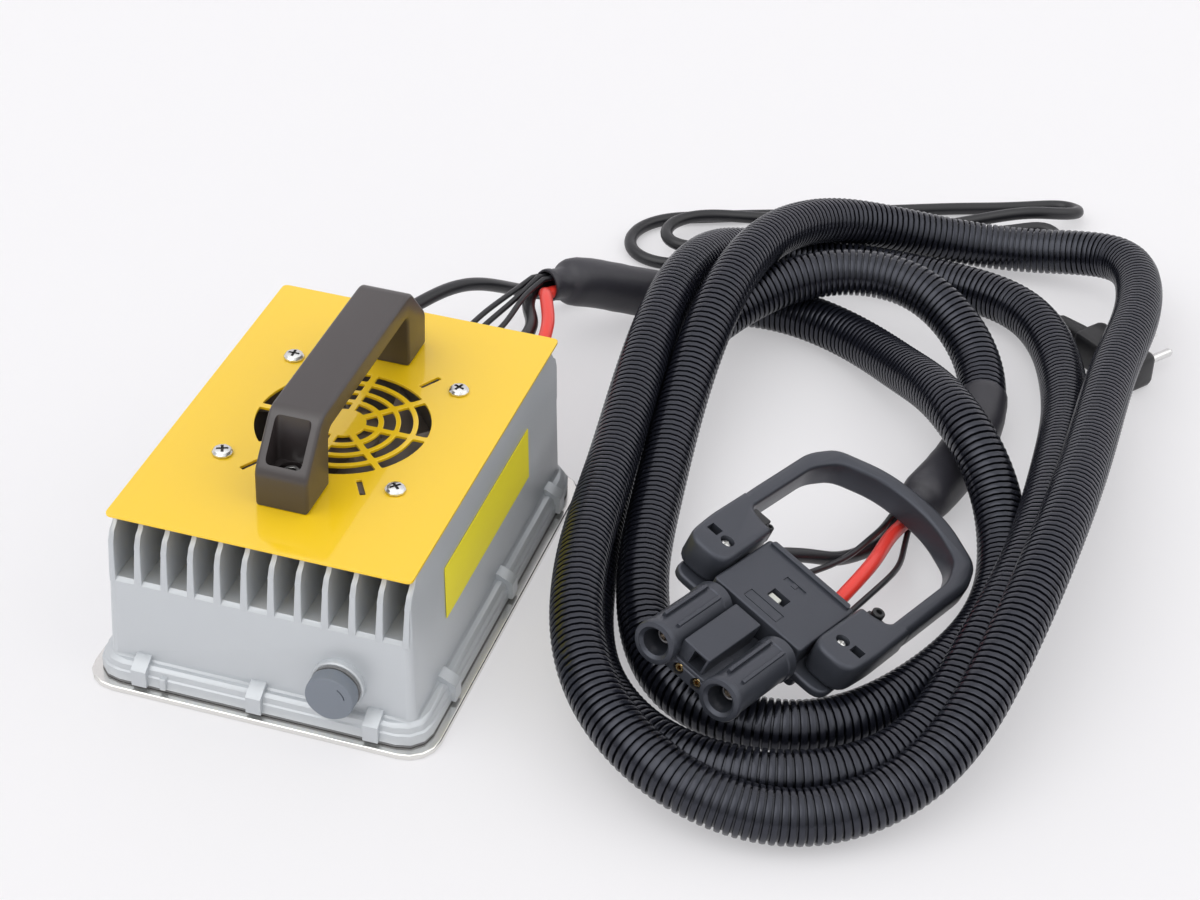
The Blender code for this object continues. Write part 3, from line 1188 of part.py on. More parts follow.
def build_mains():
    turn = math.radians(PLUG_TURN)
    pose = Matrix.Translation(PLUG_AT) @ Matrix.Rotation(turn, 4, "Z")
    tail = PLUG_L / 2 + RELIEF_L
    start = gland_end(MAINS_GLAND_AT) + Vector((0.0, GLAND_L + GAP, 0.0))
    end = pose @ Vector((-tail - 0.006, 0.0, 0.0)), pose @ Vector((-tail - GAP, 0.0, 0.0))
    first = start, start + Vector((0.0, START_STRAIGHT, 0.0))
    line = cord_line(first, MAINS_ROUTE, end, 6 * MAINS_D)
    add_tube("mains_cord", line, MAINS_D, CORD_BLACK, 8)

    bm = bmesh.new()
    corner = Vector((PLUG_L, PLUG_DEPTH, PLUG_H)) / 2
    block(bm, -corner, corner, 0.004, 2)
    plug = add_object("mains_plug", bm, CHARCOAL)
    bm = bmesh.new()
    relief = [
        (0.0, -0.004), (0.0065, -0.004), (0.0062, 0.004), (0.005, RELIEF_L - 0.004),
        (0.0045, RELIEF_L), (0.0, RELIEF_L),
    ]
    turned(bm, relief, 12, towards((-1, 0, 0), (-PLUG_L / 2, 0.0, 0.0)))
    helper = add_object("add_relief", bm)
    combine(plug, helper, "UNION")
    face = PLUG_DEPTH / 2 + GAP
    earth = PLUG_L / 2 - 0.009
    bm = bmesh.new()
    pin = [
        (0.0, 0.0), (EARTH_PIN_R, 0.0), (EARTH_PIN_R, EARTH_PIN_L - 0.002),
        (EARTH_PIN_R * 0.5, EARTH_PIN_L), (0.0, EARTH_PIN_L),
    ]
    turned(bm, pin, 10, towards((0, 1, 0), (earth, face, 0.0)))
    pins = [add_object("plug_pin_earth", bm, SCREW_STEEL)]
    for number, z in enumerate((-BLADE_SPACING / 2, BLADE_SPACING / 2), 1):
        bm = bmesh.new()
        near = Vector((earth - EARTH_SPACING - BLADE_W / 2, face, z - BLADE_PIN_T / 2))
        block(bm, near, near + Vector((BLADE_W, BLADE_PIN_L, BLADE_PIN_T)))
        pins.append(add_object(f"plug_pin_{number}", bm, SCREW_STEEL))
    for obj in [plug, helper] + pins:
        obj.location = PLUG_AT
        obj.rotation_euler = (0.0, 0.0, turn)


def grip_outline(half_w, near_y, corner_y, mid_y):
    """Anticlockwise outline: straight sides, cut corners and a bowed far end."""
    back = CORNER_SETBACK
    right = [
        (half_w - 0.0015, near_y), (half_w, near_y + 0.02), (half_w, corner_y - back),
        (half_w - 0.0018, corner_y - back * 0.45), (half_w - back * 0.4, corner_y + 0.001),
        (half_w - back * 0.95, corner_y + (mid_y - corner_y) * 0.55),
        (half_w * 0.4, mid_y - (mid_y - corner_y) * 0.14),
    ]
    return right + [(0.0, mid_y)] + [(-x, y) for x, y in reversed(right)]


def contact(collar, radius, length, nose):
    """Half outline of a contact pin with a collar at its root."""
    return [
        (0.0, 0.0), (collar, 0.0), (collar, 0.003), (radius, 0.003), (radius, length - nose),
        (radius - nose, length), (0.0, length),
    ]


def build_connector():
    frame = empty("connector_frame", CONNECTOR_AT, CONNECTOR_TURN)
    bm = bmesh.new()
    edge = 0.0012
    profile = [
        (-BASE_HALF_W, BASE_EDGE_LOW), (-BASE_FLAT_HALF_W, BASE_LOW), (BASE_FLAT_HALF_W, BASE_LOW),
        (BASE_HALF_W, BASE_EDGE_LOW), (BASE_HALF_W, BASE_HIGH), (-BASE_HALF_W, BASE_HIGH),
    ]
    skin(bm, [
        lay(offset_outline(profile, -edge), BASE_FRONT, "Y"), lay(profile, BASE_FRONT + edge, "Y"),
        lay(profile, BASE_REAR - edge, "Y"), lay(offset_outline(profile, -edge), BASE_REAR, "Y"),
    ])
    base = add_object("connector_base", bm, CHARCOAL, frame)

    bm = bmesh.new()
    block(bm, (-NOSE_HALF_W, NOSE_FACE, NOSE_LOW), (NOSE_HALF_W, BASE_FRONT + 0.008, BASE_HIGH - 0.0004),
          0.0015, 1)
    combine(base, add_object("add_nose_web", bm, None, frame), "UNION")
    bm = bmesh.new()
    back = SHELL_FRONT - GAP
    long = back - BARREL_FACE
    barrel = [
        (0.0, 0.0), (BARREL_R - 0.0012, 0.0), (BARREL_R, 0.0012), (BARREL_R, long - 0.0012),
        (BARREL_R - 0.0012, long), (0.0, long),
    ]
    for x in (-BARREL_X, BARREL_X):
        turned(bm, barrel, 18, towards((0, -1, 0), (x, back, BARREL_Z)))
    combine(base, add_object("add_barrels", bm, None, frame), "UNION")
    bm = bmesh.new()
    block(bm, (MIDDLE_BLOCK_X[0], NOSE_FACE + 0.0015, BASE_LOW + 0.002),
          (MIDDLE_BLOCK_X[1], back, MIDDLE_BLOCK_TOP), 0.0008, 1)
    combine(base, add_object("add_middle_block", bm, None, frame), "UNION")
    bm = bmesh.new()
    for x in (-BARREL_X, BARREL_X):
        for aside in BARREL_RIBS_AT:
            near = Vector((x + aside - BARREL_RIB_T / 2, NOSE_FACE + 0.0035, BARREL_Z + 0.005))
            block(bm, near, (near.x + BARREL_RIB_T, SHELL_FRONT - 0.0065, BARREL_Z + BARREL_R + 0.0006))
    combine(base, add_object("add_barrel_ribs", bm, None, frame), "UNION")
    bm = bmesh.new()
    bore = rod(BARREL_BORE_R, -0.001, BARREL_BORE_L)
    for x in (-BARREL_X, BARREL_X):
        turned(bm, bore, 16, towards((0, 1, 0), (x, BARREL_FACE, BARREL_Z)))
    aux = rod(AUX_BORE_R, -0.002, AUX_BORE_L)
    for x in (-AUX_X, AUX_X):
        turned(bm, aux, 10, towards((0, 1, 0), (x, NOSE_FACE, AUX_Z)))
    combine(base, add_object("cut_contact_bores", bm, None, frame), "DIFFERENCE")

    bm = bmesh.new()
    low = BASE_HIGH + GAP
    block(bm, (-SHELL_HALF_W, SHELL_FRONT + 0.0025, low), (SHELL_HALF_W, SHELL_REAR, SHELL_TOP), 0.0012, 2)
    shell = add_object("connector_shell", bm, CHARCOAL, frame)
    bm = bmesh.new()
    room = KEY_SIDE / 2 + GAP
    floor = SHELL_TOP - KEY_WELL_DEPTH
    block(bm, (KEY_AT[0] - room, KEY_AT[1] - room, floor),
          (KEY_AT[0] + room, KEY_AT[1] + room, SHELL_TOP + 0.001))
    combine(shell, add_object("cut_key_window", bm, None, frame), "DIFFERENCE")
    bm = bmesh.new()
    half = KEY_SIDE / 2
    block(bm, (KEY_AT[0] - half, KEY_AT[1] - half, floor + GAP),
          (KEY_AT[0] + half, KEY_AT[1] + half, SHELL_TOP - 0.0015), 0.0006, 1)
    add_object("coding_key", bm, KEY_PALE, frame)

    bm = bmesh.new()
    outline = grip_outline(GRIP_HALF_W, BASE_REAR - 0.006, GRIP_CORNER_Y, GRIP_MID_Y)
    round_off = 0.0028
    top = HANDLE_TOP - 0.0015
    skin(bm, [
        lay(offset_outline(outline, -round_off), GRIP_LOW, "Z"), lay(outline, GRIP_LOW + round_off, "Z"),
        lay(outline, top - round_off, "Z"), lay(offset_outline(outline, -round_off), top, "Z"),
    ])
    grip = add_object("connector_handle", bm, CHARCOAL, frame)
    bm = bmesh.new()
    window = grip_outline(WINDOW_HALF_W, 0.030, WINDOW_CORNER_Y, WINDOW_MID_Y)
    skin(bm, [
        lay(offset_outline(window, round_off), GRIP_LOW - 0.0002, "Z"), lay(window, GRIP_LOW + round_off, "Z"),
        lay(window, top - round_off, "Z"), lay(offset_outline(window, round_off), top + 0.0002, "Z"),
    ])
    combine(grip, add_object("cut_grip_window", bm, None, frame), "DIFFERENCE")
    bm = bmesh.new()
    for sign in (-1, 1):
        inner, outer = sorted((sign * LUG_INNER, sign * LUG_OUTER))
        block(bm, (inner, LUG_FRONT, low), (outer, BASE_REAR + 0.0012, HANDLE_TOP), 0.0022, 2)
    combine(grip, add_object("add_grip_lugs", bm, None, frame), "UNION")
    bm = bmesh.new()
    head = rod(CONNECTOR_SCREW_R + 0.0005, HANDLE_TOP - CONNECTOR_SCREW_SUNK, HANDLE_TOP + 0.001)
    slot = Vector((*LUG_SLOT, 0.0)) / 2
    for sign in (-1, 1):
        turned(bm, head, 12, Matrix.Translation((sign * LUG_SCREW_AT[0], LUG_SCREW_AT[1], 0.0)))
        middle = Vector((sign * LUG_SLOT_AT[0], LUG_SLOT_AT[1], HANDLE_TOP))
        block(bm, middle - slot - Vector((0.0, 0.0, 0.006)), middle + slot + Vector((0.0, 0.0, 0.001)))
    combine(grip, add_object("cut_lug_holes", bm, None, frame), "DIFFERENCE")

    for number, sign in enumerate((-1, 1), 1):
        bm = bmesh.new()
        seat = HANDLE_TOP - CONNECTOR_SCREW_SUNK + GAP
        head = [
            (0.0, seat), (CONNECTOR_SCREW_R, seat), (CONNECTOR_SCREW_R, seat + 0.0018),
            (CONNECTOR_SCREW_R - 0.0007, seat + 0.0024), (0.0, seat + 0.0024),
        ]
        turned(bm, head, 12, Matrix.Translation((sign * LUG_SCREW_AT[0], LUG_SCREW_AT[1], 0.0)))
        add_object(f"connector_screw_{number}", bm, SCREW_STEEL, frame)

        bm = bmesh.new()
        deep = BARREL_FACE + BARREL_BORE_L - GAP
        pin = contact(BARREL_BORE_R - GAP, MAIN_CONTACT_R, MAIN_CONTACT_L, 0.0015)
        turned(bm, pin, 14, towards((0, -1, 0), (sign * BARREL_X, deep, BARREL_Z)))
        add_object(f"main_contact_{number}", bm, SCREW_STEEL, frame)

        bm = bmesh.new()
        deep = NOSE_FACE + AUX_BORE_L - GAP
        pin = contact(AUX_BORE_R - GAP, AUX_CONTACT_R, AUX_L, 0.001)
        turned(bm, pin, 10, towards((0, -1, 0), (sign * AUX_X, deep, AUX_Z)))
        add_object(f"aux_contact_{number}", bm, BRASS, frame)
    return frame


def main():
    clear_scene()
    screw_holes = build_base()
    build_housing(screw_holes)
    build_cover()
    build_cover_screws()
    build_handle()
    build_fan()
    build_vent()
    build_label()
    build_glands()
    build_inner_pieces()
    connector = build_connector()
    charger_mouth, connector_mouth = build_loom()
    build_leads(charger_mouth, connector_mouth, connector)
    build_mains()


main()
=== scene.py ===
# %% [markdown]
# # Forklift battery charger
#
# The charger is a finned die-cast box with a yellow cover, a fan behind a grille and a bridge
# handle. A mains cord and a long corrugated loom leave its back. This file dresses the packed
# CAD frame: it loads the solids, gives each one its finish, and makes the parts that only the
# eye needs, such as the ribs of the conduit.

# %% Load the frame
import math

import bmesh
import bpy
import numpy as np
from mathutils import Euler, Matrix, Vector


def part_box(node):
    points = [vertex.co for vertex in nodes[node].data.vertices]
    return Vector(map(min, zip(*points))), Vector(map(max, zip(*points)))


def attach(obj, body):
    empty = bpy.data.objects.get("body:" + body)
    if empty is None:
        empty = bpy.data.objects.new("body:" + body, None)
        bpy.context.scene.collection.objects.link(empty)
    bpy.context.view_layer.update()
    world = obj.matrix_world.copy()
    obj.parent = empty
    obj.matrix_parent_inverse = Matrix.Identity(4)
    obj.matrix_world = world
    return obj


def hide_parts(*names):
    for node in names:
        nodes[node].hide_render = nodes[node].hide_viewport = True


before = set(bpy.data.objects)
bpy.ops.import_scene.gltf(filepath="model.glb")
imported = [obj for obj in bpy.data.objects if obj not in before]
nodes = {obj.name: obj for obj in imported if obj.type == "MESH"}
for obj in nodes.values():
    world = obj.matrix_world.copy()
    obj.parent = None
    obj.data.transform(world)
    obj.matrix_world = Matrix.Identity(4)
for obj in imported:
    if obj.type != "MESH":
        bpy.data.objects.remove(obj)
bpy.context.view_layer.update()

# %% Helpers for objects and nodes
def linked(name, data):
    """A new object in the scene."""
    obj = bpy.data.objects.new(name, data)
    bpy.context.scene.collection.objects.link(obj)
    return obj


def set_values(node, values):
    for name, value in values.items():
        node.inputs[name].default_value = value


def math_node(tree, operation, *values, kind="ShaderNodeMath"):
    """The result of a math node. Its inputs are numbers or other nodes' outputs."""
    node = tree.nodes.new(kind)
    node.operation = operation
    for socket, value in zip(node.inputs, values):
        if isinstance(value, (int, float)):
            socket.default_value = value
        else:
            tree.links.new(value, socket)
    return node.outputs[0]


print("three helpers")

# %% [markdown]
# ## Camera
#
# The photograph looks down on the charger from the front right. A long lens keeps the box's
# edges nearly parallel, so the camera stands more than a metre away.

# %% Camera
camera_data = bpy.data.cameras.new("camera")
camera_data.sensor_fit = "HORIZONTAL"
camera_data.sensor_width = 36.0
camera_data.lens = 81.04
camera_data.clip_end = 100.0
camera = linked("camera", camera_data)
camera.location = (0.39024, -0.93630, 0.79651)
camera.rotation_euler = (0.9525, -0.0349, 0.3036)
bpy.context.scene.camera = camera
print("camera at", tuple(round(value, 3) for value in camera.location))

# %% [markdown]
# ## Floor, backdrop and light
#
# A product table is lit by one wide, soft source above and in front, and by the white room
# around it. A sun with a very wide angle lights the whole floor evenly, however far it runs. The
# world fills the shadows. Mirror-like surfaces see a brighter room than the shadows do, because
# a real studio's walls are brighter than the light that reaches the underside of things.
#
# The floor and backdrop are pale on their own, and glow a little for the camera and for
# reflections only. That keeps their shadows soft and pale without more light on the charger.

# %% Floor and backdrop
SEEN_SHARE, GLOW = 0.55, 0.43


def seen_rays(tree):
    """One for camera rays and reflections, nought for the rays that carry light around."""
    kind = tree.nodes.new("ShaderNodeLightPath")
    return math_node(tree, "MAXIMUM", kind.outputs["Is Camera Ray"], kind.outputs["Is Glossy Ray"])


def stage_material(name, color):
    material = bpy.data.materials.new(name)
    material.use_nodes = True
    tree = material.node_tree
    shader = tree.nodes["Principled BSDF"]
    set_values(shader, {"Roughness": 0.75, "Specular IOR Level": 0.25, "Emission Color": (*color, 1.0)})
    rays = seen_rays(tree)
    mix = tree.nodes.new("ShaderNodeMix")
    mix.data_type = "RGBA"
    set_values(mix, {"A": (*color, 1.0), "B": (*[value * SEEN_SHARE for value in color], 1.0)})
    tree.links.new(rays, mix.inputs["Factor"])
    tree.links.new(mix.outputs["Result"], shader.inputs["Base Color"])
    tree.links.new(math_node(tree, "MULTIPLY", rays, GLOW), shader.inputs["Emission Strength"])
    return material


def flat_sheet(name, corners, material):
    mesh = bpy.data.meshes.new(name)
    mesh.from_pydata(corners, [], [tuple(range(len(corners)))])
    mesh.materials.append(material)
    obj = linked(name, mesh)
    return obj


WALL_POINT = Vector((-0.36, 6.82, 0.0))
WALL_RUN = Vector((9.67, 4.04, 0.0)).normalized() * 16
floor_corners = [(-16, -6, 0), (16, -6, 0), (16, 16, 0), (-16, 16, 0)]
flat_sheet("floor", floor_corners, stage_material("floor", (0.915, 0.905, 0.925)))
wall_corners = [WALL_POINT - WALL_RUN, WALL_POINT + WALL_RUN]
wall_corners += [corner + Vector((0, 0, 8)) for corner in reversed(wall_corners)]
flat_sheet("backdrop", wall_corners, stage_material("backdrop", (0.90, 0.885, 0.91)))
print("floor and backdrop")


# %% Lamps and world
def sun(name, towards_light, energy, angle):
    data = bpy.data.lights.new(name, "SUN")
    data.energy = energy
    data.angle = math.radians(angle)
    linked(name, data).rotation_euler = Vector(towards_light).to_track_quat("Z", "Y").to_euler()


sun("key", (-0.34, -0.46, 0.82), 0.85, 60)
sun("side", (0.80, 0.10, 0.59), 0.42, 60)
world = bpy.data.worlds.new("room")
world.use_nodes = True
bpy.context.scene.world = world
room = world.node_tree
background = room.nodes["Background"]
set_values(background, {"Color": (1.0, 1.0, 1.0, 1.0)})
direction = room.nodes.new("ShaderNodeTexCoord")
height = room.nodes.new("ShaderNodeSeparateXYZ")
softbox = room.nodes.new("ShaderNodeMapRange")
set_values(softbox, {"From Min": 0.15, "From Max": 0.95, "To Min": 0.45, "To Max": 1.35})
mirrored = room.nodes.new("ShaderNodeMapRange")
set_values(mirrored, {"To Min": 0.765})
level = room.nodes.new("ShaderNodeMapRange")
set_values(level, {"To Max": 1.0})
rays = room.nodes.new("ShaderNodeLightPath")
room.links.new(direction.outputs["Generated"], height.inputs[0])
room.links.new(height.outputs["Z"], softbox.inputs["Value"])
room.links.new(softbox.outputs["Result"], mirrored.inputs["To Max"])
room.links.new(rays.outputs["Is Glossy Ray"], mirrored.inputs["Value"])
room.links.new(mirrored.outputs["Result"], level.inputs["To Min"])
room.links.new(rays.outputs["Is Camera Ray"], level.inputs["Value"])
room.links.new(level.outputs["Result"], background.inputs["Strength"])
bpy.context.scene.view_settings.view_transform = "Standard"
print("two suns and a world")

# %% [markdown]
# ## Finishes
#
# Nearly every surface here is a plain colour with a fine grain: the sparkle of a cast and
# painted wall, the spark-eroded texture of a mould, the film on a cable. One shader group makes
# that grain, with its size and strength as inputs, and each material uses it with its own
# values. The group puts out a colour, a roughness and a height, and the material's own
# Principled BSDF turns them into a surface.

# %% The grain group
def grain_group():
    group = bpy.data.node_groups.new("surface_grain", "ShaderNodeTree")
    face = group.interface
    face.new_socket("Color", in_out="INPUT", socket_type="NodeSocketColor")
    defaults = (("Grain Scale", 1500.0), ("Cloud Scale", 25.0), ("Color Spread", 0.05),
                ("Roughness", 0.5), ("Roughness Spread", 0.08))
    for name, value in defaults:
        socket = face.new_socket(name, in_out="INPUT", socket_type="NodeSocketFloat")
        socket.default_value = value
    face.new_socket("Color", in_out="OUTPUT", socket_type="NodeSocketColor")
    face.new_socket("Roughness", in_out="OUTPUT", socket_type="NodeSocketFloat")
    face.new_socket("Height", in_out="OUTPUT", socket_type="NodeSocketFloat")
    make = group.nodes.new
    link = group.links.new
    given = make("NodeGroupInput")
    out = make("NodeGroupOutput")
    place = make("ShaderNodeTexCoord")
    grain = make("ShaderNodeTexNoise")
    set_values(grain, {"Detail": 2.0})
    cloud = make("ShaderNodeTexNoise")
    set_values(cloud, {"Detail": 5.0, "Roughness": 0.6})
    link(place.outputs["Object"], grain.inputs["Vector"])
    link(place.outputs["Object"], cloud.inputs["Vector"])
    link(given.outputs["Grain Scale"], grain.inputs["Scale"])
    link(given.outputs["Cloud Scale"], cloud.inputs["Scale"])
    centred = math_node(group, "SUBTRACT", cloud.outputs["Fac"], 0.5)
    shade = math_node(group, "MULTIPLY_ADD", centred, given.outputs["Color Spread"], 1.0)
    rough = math_node(group, "MULTIPLY_ADD", centred, given.outputs["Roughness Spread"],
                      given.outputs["Roughness"])
    tint = make("ShaderNodeVectorMath")
    tint.operation = "SCALE"
    link(given.outputs["Color"], tint.inputs[0])
    link(shade, tint.inputs["Scale"])
    link(tint.outputs["Vector"], out.inputs["Color"])
    link(rough, out.inputs["Roughness"])
    link(grain.outputs["Fac"], out.inputs["Height"])
    return group


GRAIN = grain_group()
print("group", GRAIN.name, "with", len(GRAIN.nodes), "nodes")


# %% A finish from the group
def finish(name, color, roughness, metallic=0.0, grain=1500.0, depth=0.00003, spread=0.08,
           cloud=25.0, rough_spread=0.1, coat=0.0, coat_roughness=0.1, specular=0.5,
           tint=(1.0, 1.0, 1.0)):
    """A Principled material whose colour, roughness and bump come from the grain group."""
    material = bpy.data.materials.new(name)
    material.use_nodes = True
    material.diffuse_color = (*color, 1.0)
    tree = material.node_tree
    shader = tree.nodes["Principled BSDF"]
    set_values(shader, {
        "Metallic": metallic, "Specular IOR Level": specular, "Specular Tint": (*tint, 1.0),
        "Coat Weight": coat, "Coat Roughness": coat_roughness,
    })
    group = tree.nodes.new("ShaderNodeGroup")
    group.node_tree = GRAIN
    set_values(group, {
        "Color": (*color, 1.0), "Grain Scale": grain, "Cloud Scale": cloud, "Color Spread": spread,
        "Roughness": roughness, "Roughness Spread": rough_spread,
    })
    bump = tree.nodes.new("ShaderNodeBump")
    set_values(bump, {"Strength": 0.6, "Distance": depth})
    tree.links.new(group.outputs["Color"], shader.inputs["Base Color"])
    tree.links.new(group.outputs["Roughness"], shader.inputs["Roughness"])
    tree.links.new(group.outputs["Height"], bump.inputs["Height"])
    tree.links.new(bump.outputs["Normal"], shader.inputs["Normal"])
    return material


BLUE_SHEEN = (0.84, 0.87, 1.0)
CAST_SILVER = finish("cast_silver", (0.56, 0.585, 0.61), 0.40, metallic=0.30, grain=1400, depth=0.00006,
                     spread=0.05, specular=0.6)
PLATE_BRIGHT = finish("plate_bright", (0.80, 0.79, 0.765), 0.24, metallic=1.0, grain=600, depth=0.00001,
                      spread=0.05)
COVER_YELLOW = finish("cover_yellow", (1.0, 0.645, 0.006), 0.38, grain=900, depth=0.00001, spread=0.02,
                      coat=1.0, coat_roughness=0.05, specular=0.4)
LABEL_YELLOW = finish("label_yellow", (0.96, 0.83, 0.030), 0.45, grain=2200, depth=0.00001, spread=0.04,
                      specular=0.3)
HANDLE_CHARCOAL = finish("handle_charcoal", (0.038, 0.030, 0.030), 0.40, grain=2600, depth=0.00008,
                         spread=0.3, cloud=60, specular=0.85)
CONNECTOR_BLACK = finish("connector_black", (0.034, 0.037, 0.046), 0.36, grain=2200, depth=0.00007,
                         spread=0.2, cloud=40, specular=0.65, tint=BLUE_SHEEN)
SOCKET_DARK = finish("plug_black", (0.014, 0.014, 0.016), 0.45, grain=3000, depth=0.00005)
FAN_DARK = finish("fan_dark", (0.15, 0.125, 0.108), 0.5, grain=2500, depth=0.00004)
FAN_METAL = finish("fan_metal", (0.14, 0.12, 0.105), 0.42, grain=900, depth=0.00003)
VENT_GREY = finish("vent_grey", (0.19, 0.213, 0.25), 0.5, grain=2500, depth=0.00005, spread=0.06)
SCREW_ZINC = finish("screw_zinc", (0.74, 0.74, 0.73), 0.27, metallic=1.0, grain=2500, depth=0.00002)
# Painted shade for the sunk cross of a zinc screw head, whose recess is really the same bright metal.
RECESS_PAINTED_SHADE = finish("recess_painted_shade", (0.10, 0.095, 0.09), 0.55, metallic=1.0)
SEAL_RUBBER = finish("seal_rubber", (0.016, 0.016, 0.017), 0.75, grain=2500, depth=0.00005)
SEAL_GREY = finish("seal_grey", (0.20, 0.20, 0.205), 0.6, grain=2500, depth=0.00005)
CORD_BLACK = finish("cord_black", (0.011, 0.011, 0.014), 0.36, grain=1800, depth=0.00004, spread=0.2)
BOOT_BLACK = finish("boot_black", (0.030, 0.029, 0.037), 0.45, grain=900, depth=0.00012, spread=0.3)
CORD_RED = finish("cord_red", (0.86, 0.050, 0.035), 0.33, grain=1500, depth=0.00003, spread=0.05)
BRASS = finish("brass", (0.86, 0.62, 0.28), 0.25, metallic=1.0)
SILVERED = finish("silvered", (0.86, 0.82, 0.78), 0.22, metallic=1.0)
KEY_PALE = finish("key_pale", (0.66, 0.67, 0.62), 0.5, grain=2500)
BOARD_GREEN = finish("board_green", (0.03, 0.16, 0.06), 0.45)
CORE_DARK = finish("core_dark", (0.05, 0.05, 0.055), 0.6, metallic=0.5)
COPPER = finish("copper", (0.70, 0.32, 0.16), 0.35, metallic=1.0)
SLEEVE = finish("sleeve", (0.04, 0.045, 0.06), 0.4)
print(len(bpy.data.materials), "materials")

# %% [markdown]
# ## Rigid pieces
#
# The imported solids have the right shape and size, but their edges are perfectly sharp, and no
# cast or moulded edge is. A sharp edge catches no light, so it reads as cardboard. Each solid is
# copied, its loose triangles are merged, flat faces become single faces again, and a narrow
# Bevel modifier rounds the corners. Harden Normals keeps the flat faces looking flat.

# %% Copy a solid and round its edges
def merged_copy(node):
    """A welded copy of a CAD solid, with its flat faces whole again."""
    bm = bmesh.new()
    bm.from_mesh(nodes[node].data)
    bmesh.ops.remove_doubles(bm, verts=bm.verts, dist=0.00001)
    bmesh.ops.dissolve_limit(bm, angle_limit=math.radians(0.6), verts=bm.verts, edges=bm.edges)
    return bm


def add_piece(name, bm, material, body, replaced=(), smooth_angle=32):
    """Turns a bmesh into a piece that rides on a body."""
    bmesh.ops.recalc_face_normals(bm, faces=bm.faces)
    mesh = bpy.data.meshes.new(name)
    bm.to_mesh(mesh)
    bm.free()
    mesh.materials.append(material)
    mesh.shade_smooth()
    mesh.set_sharp_from_angle(angle=math.radians(smooth_angle))
    obj = linked(name, mesh)
    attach(obj, body)
    if replaced:
        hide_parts(*replaced)
    return obj


def soften(obj, width, angle=32):
    """Rounds every edge that turns by more than the angle, in degrees."""
    bevel = obj.modifiers.new("Rounded edges", "BEVEL")
    bevel.width = width
    bevel.segments = 2
    bevel.limit_method = "ANGLE"
    bevel.angle_limit = math.radians(angle)
    bevel.use_clamp_overlap = True
    bevel.harden_normals = True


def rounded(node, material, width, body="charger"):
    """The solid with its edges rounded, as a piece that replaces it."""
    obj = add_piece(f"{node}_finished", merged_copy(node), material, body, (node,))
    soften(obj, width)
    return obj


# Where a screw's recess gets painted shade: a share of its head's width and depths under its top.
RECESS_REACH = 0.32
RECESS_NEAR = 0.0003
RECESS_FAR = 0.0025


def paint_recess_shade(obj, node):
    """Paints shade into the sunk faces on top of a screw's head by giving them the dark material."""
    low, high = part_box(node)
    centre = (low + high) / 2
    reach = (high.x - low.x) * RECESS_REACH
    obj.data.materials.append(RECESS_PAINTED_SHADE)
    for face in obj.data.polygons:
        near = math.hypot(face.center.x - centre.x, face.center.y - centre.y) < reach
        if near and high.z - RECESS_FAR < face.center.z < high.z - RECESS_NEAR:
            face.material_index = 1


def repaint(node, material):
    """A CAD solid that stays as it is, with a better material."""
    slots = nodes[node].data.materials
    slots.clear()
    slots.append(material)


finished = {}
for node, material, width in (
    ("housing", CAST_SILVER, 0.00045), ("base_plate", PLATE_BRIGHT, 0.0003),
    ("mains_gland", SOCKET_DARK, 0.0004), ("mains_plug", SOCKET_DARK, 0.0004),
    ("fan_frame", FAN_METAL, 0.0003), ("heat_bar", PLATE_BRIGHT, 0.0004),
    ("transformer_core", CORE_DARK, 0.0005), ("plug_pin_1", SCREW_ZINC, 0.0003),
    ("plug_pin_2", SCREW_ZINC, 0.0003), ("plug_pin_earth", SCREW_ZINC, 0.0003),
):
    finished[node] = rounded(node, material, width)
finished["fan_rotor"] = rounded("fan_rotor", FAN_DARK, 0.0002, body="fan")
for node in nodes:
    if node.startswith(("cover_screw", "handle_screw")):
        finished[node] = rounded(node, SCREW_ZINC, 0.0002)
        paint_recess_shade(finished[node], node)
for node, material in (
    ("side_label", LABEL_YELLOW), ("base_gasket", SEAL_GREY), ("vent_seal", SEAL_GREY),
    ("red_lead_bush", SEAL_RUBBER), ("black_lead_bush", SEAL_RUBBER), ("wire_grommet", SEAL_RUBBER),
    ("circuit_board", BOARD_GREEN), ("transformer_winding", COPPER), ("capacitor_1", SLEEVE),
    ("capacitor_2", SLEEVE),
    *[(f"base_screw_{number}", SCREW_ZINC) for number in range(1, 7)],
):
    repaint(node, material)
print(len(finished), "solids with rounded edges")

# %% [markdown]
# ## Pieces with finer curves
#
# Some pieces need rounder forms than a bevel can give: the grille's slots have round ends, the
# bridge handle is a fat moulding, and the connector is all curves. They are built again here,
# close to the sizes of the solids, from outlines with rounded corners and from Booleans. A
# Bevel could round these edges too, but it shrinks to the shortest edge that it meets.

# %% Shapes from outlines
def skin_rings(bm, rings):
    """Closed skin over the rings, with a cap at both ends."""
    rows = [[bm.verts.new(point) for point in ring] for ring in rings]
    for low, high in zip(rows, rows[1:]):
        for i in range(len(low)):
            j = (i + 1) % len(low)
            bm.faces.new((low[i], low[j], high[j], high[i]))
    bm.faces.new(rows[0][::-1])
    bm.faces.new(rows[-1])


# The least mitre and tangent keep very sharp corners of an outline from flying off.
LEAST_MITRE = 0.3
LEAST_TANGENT = 0.1
LEAST_REACH = 0.00008
SIDE_SHARE = 0.48


def corners(points, radius):
    """An outline as its corner points and how far the rounding of each reaches."""
    radii = list(radius) if isinstance(radius, (tuple, list)) else [radius] * len(points)
    return [Vector(point) for point in points], radii


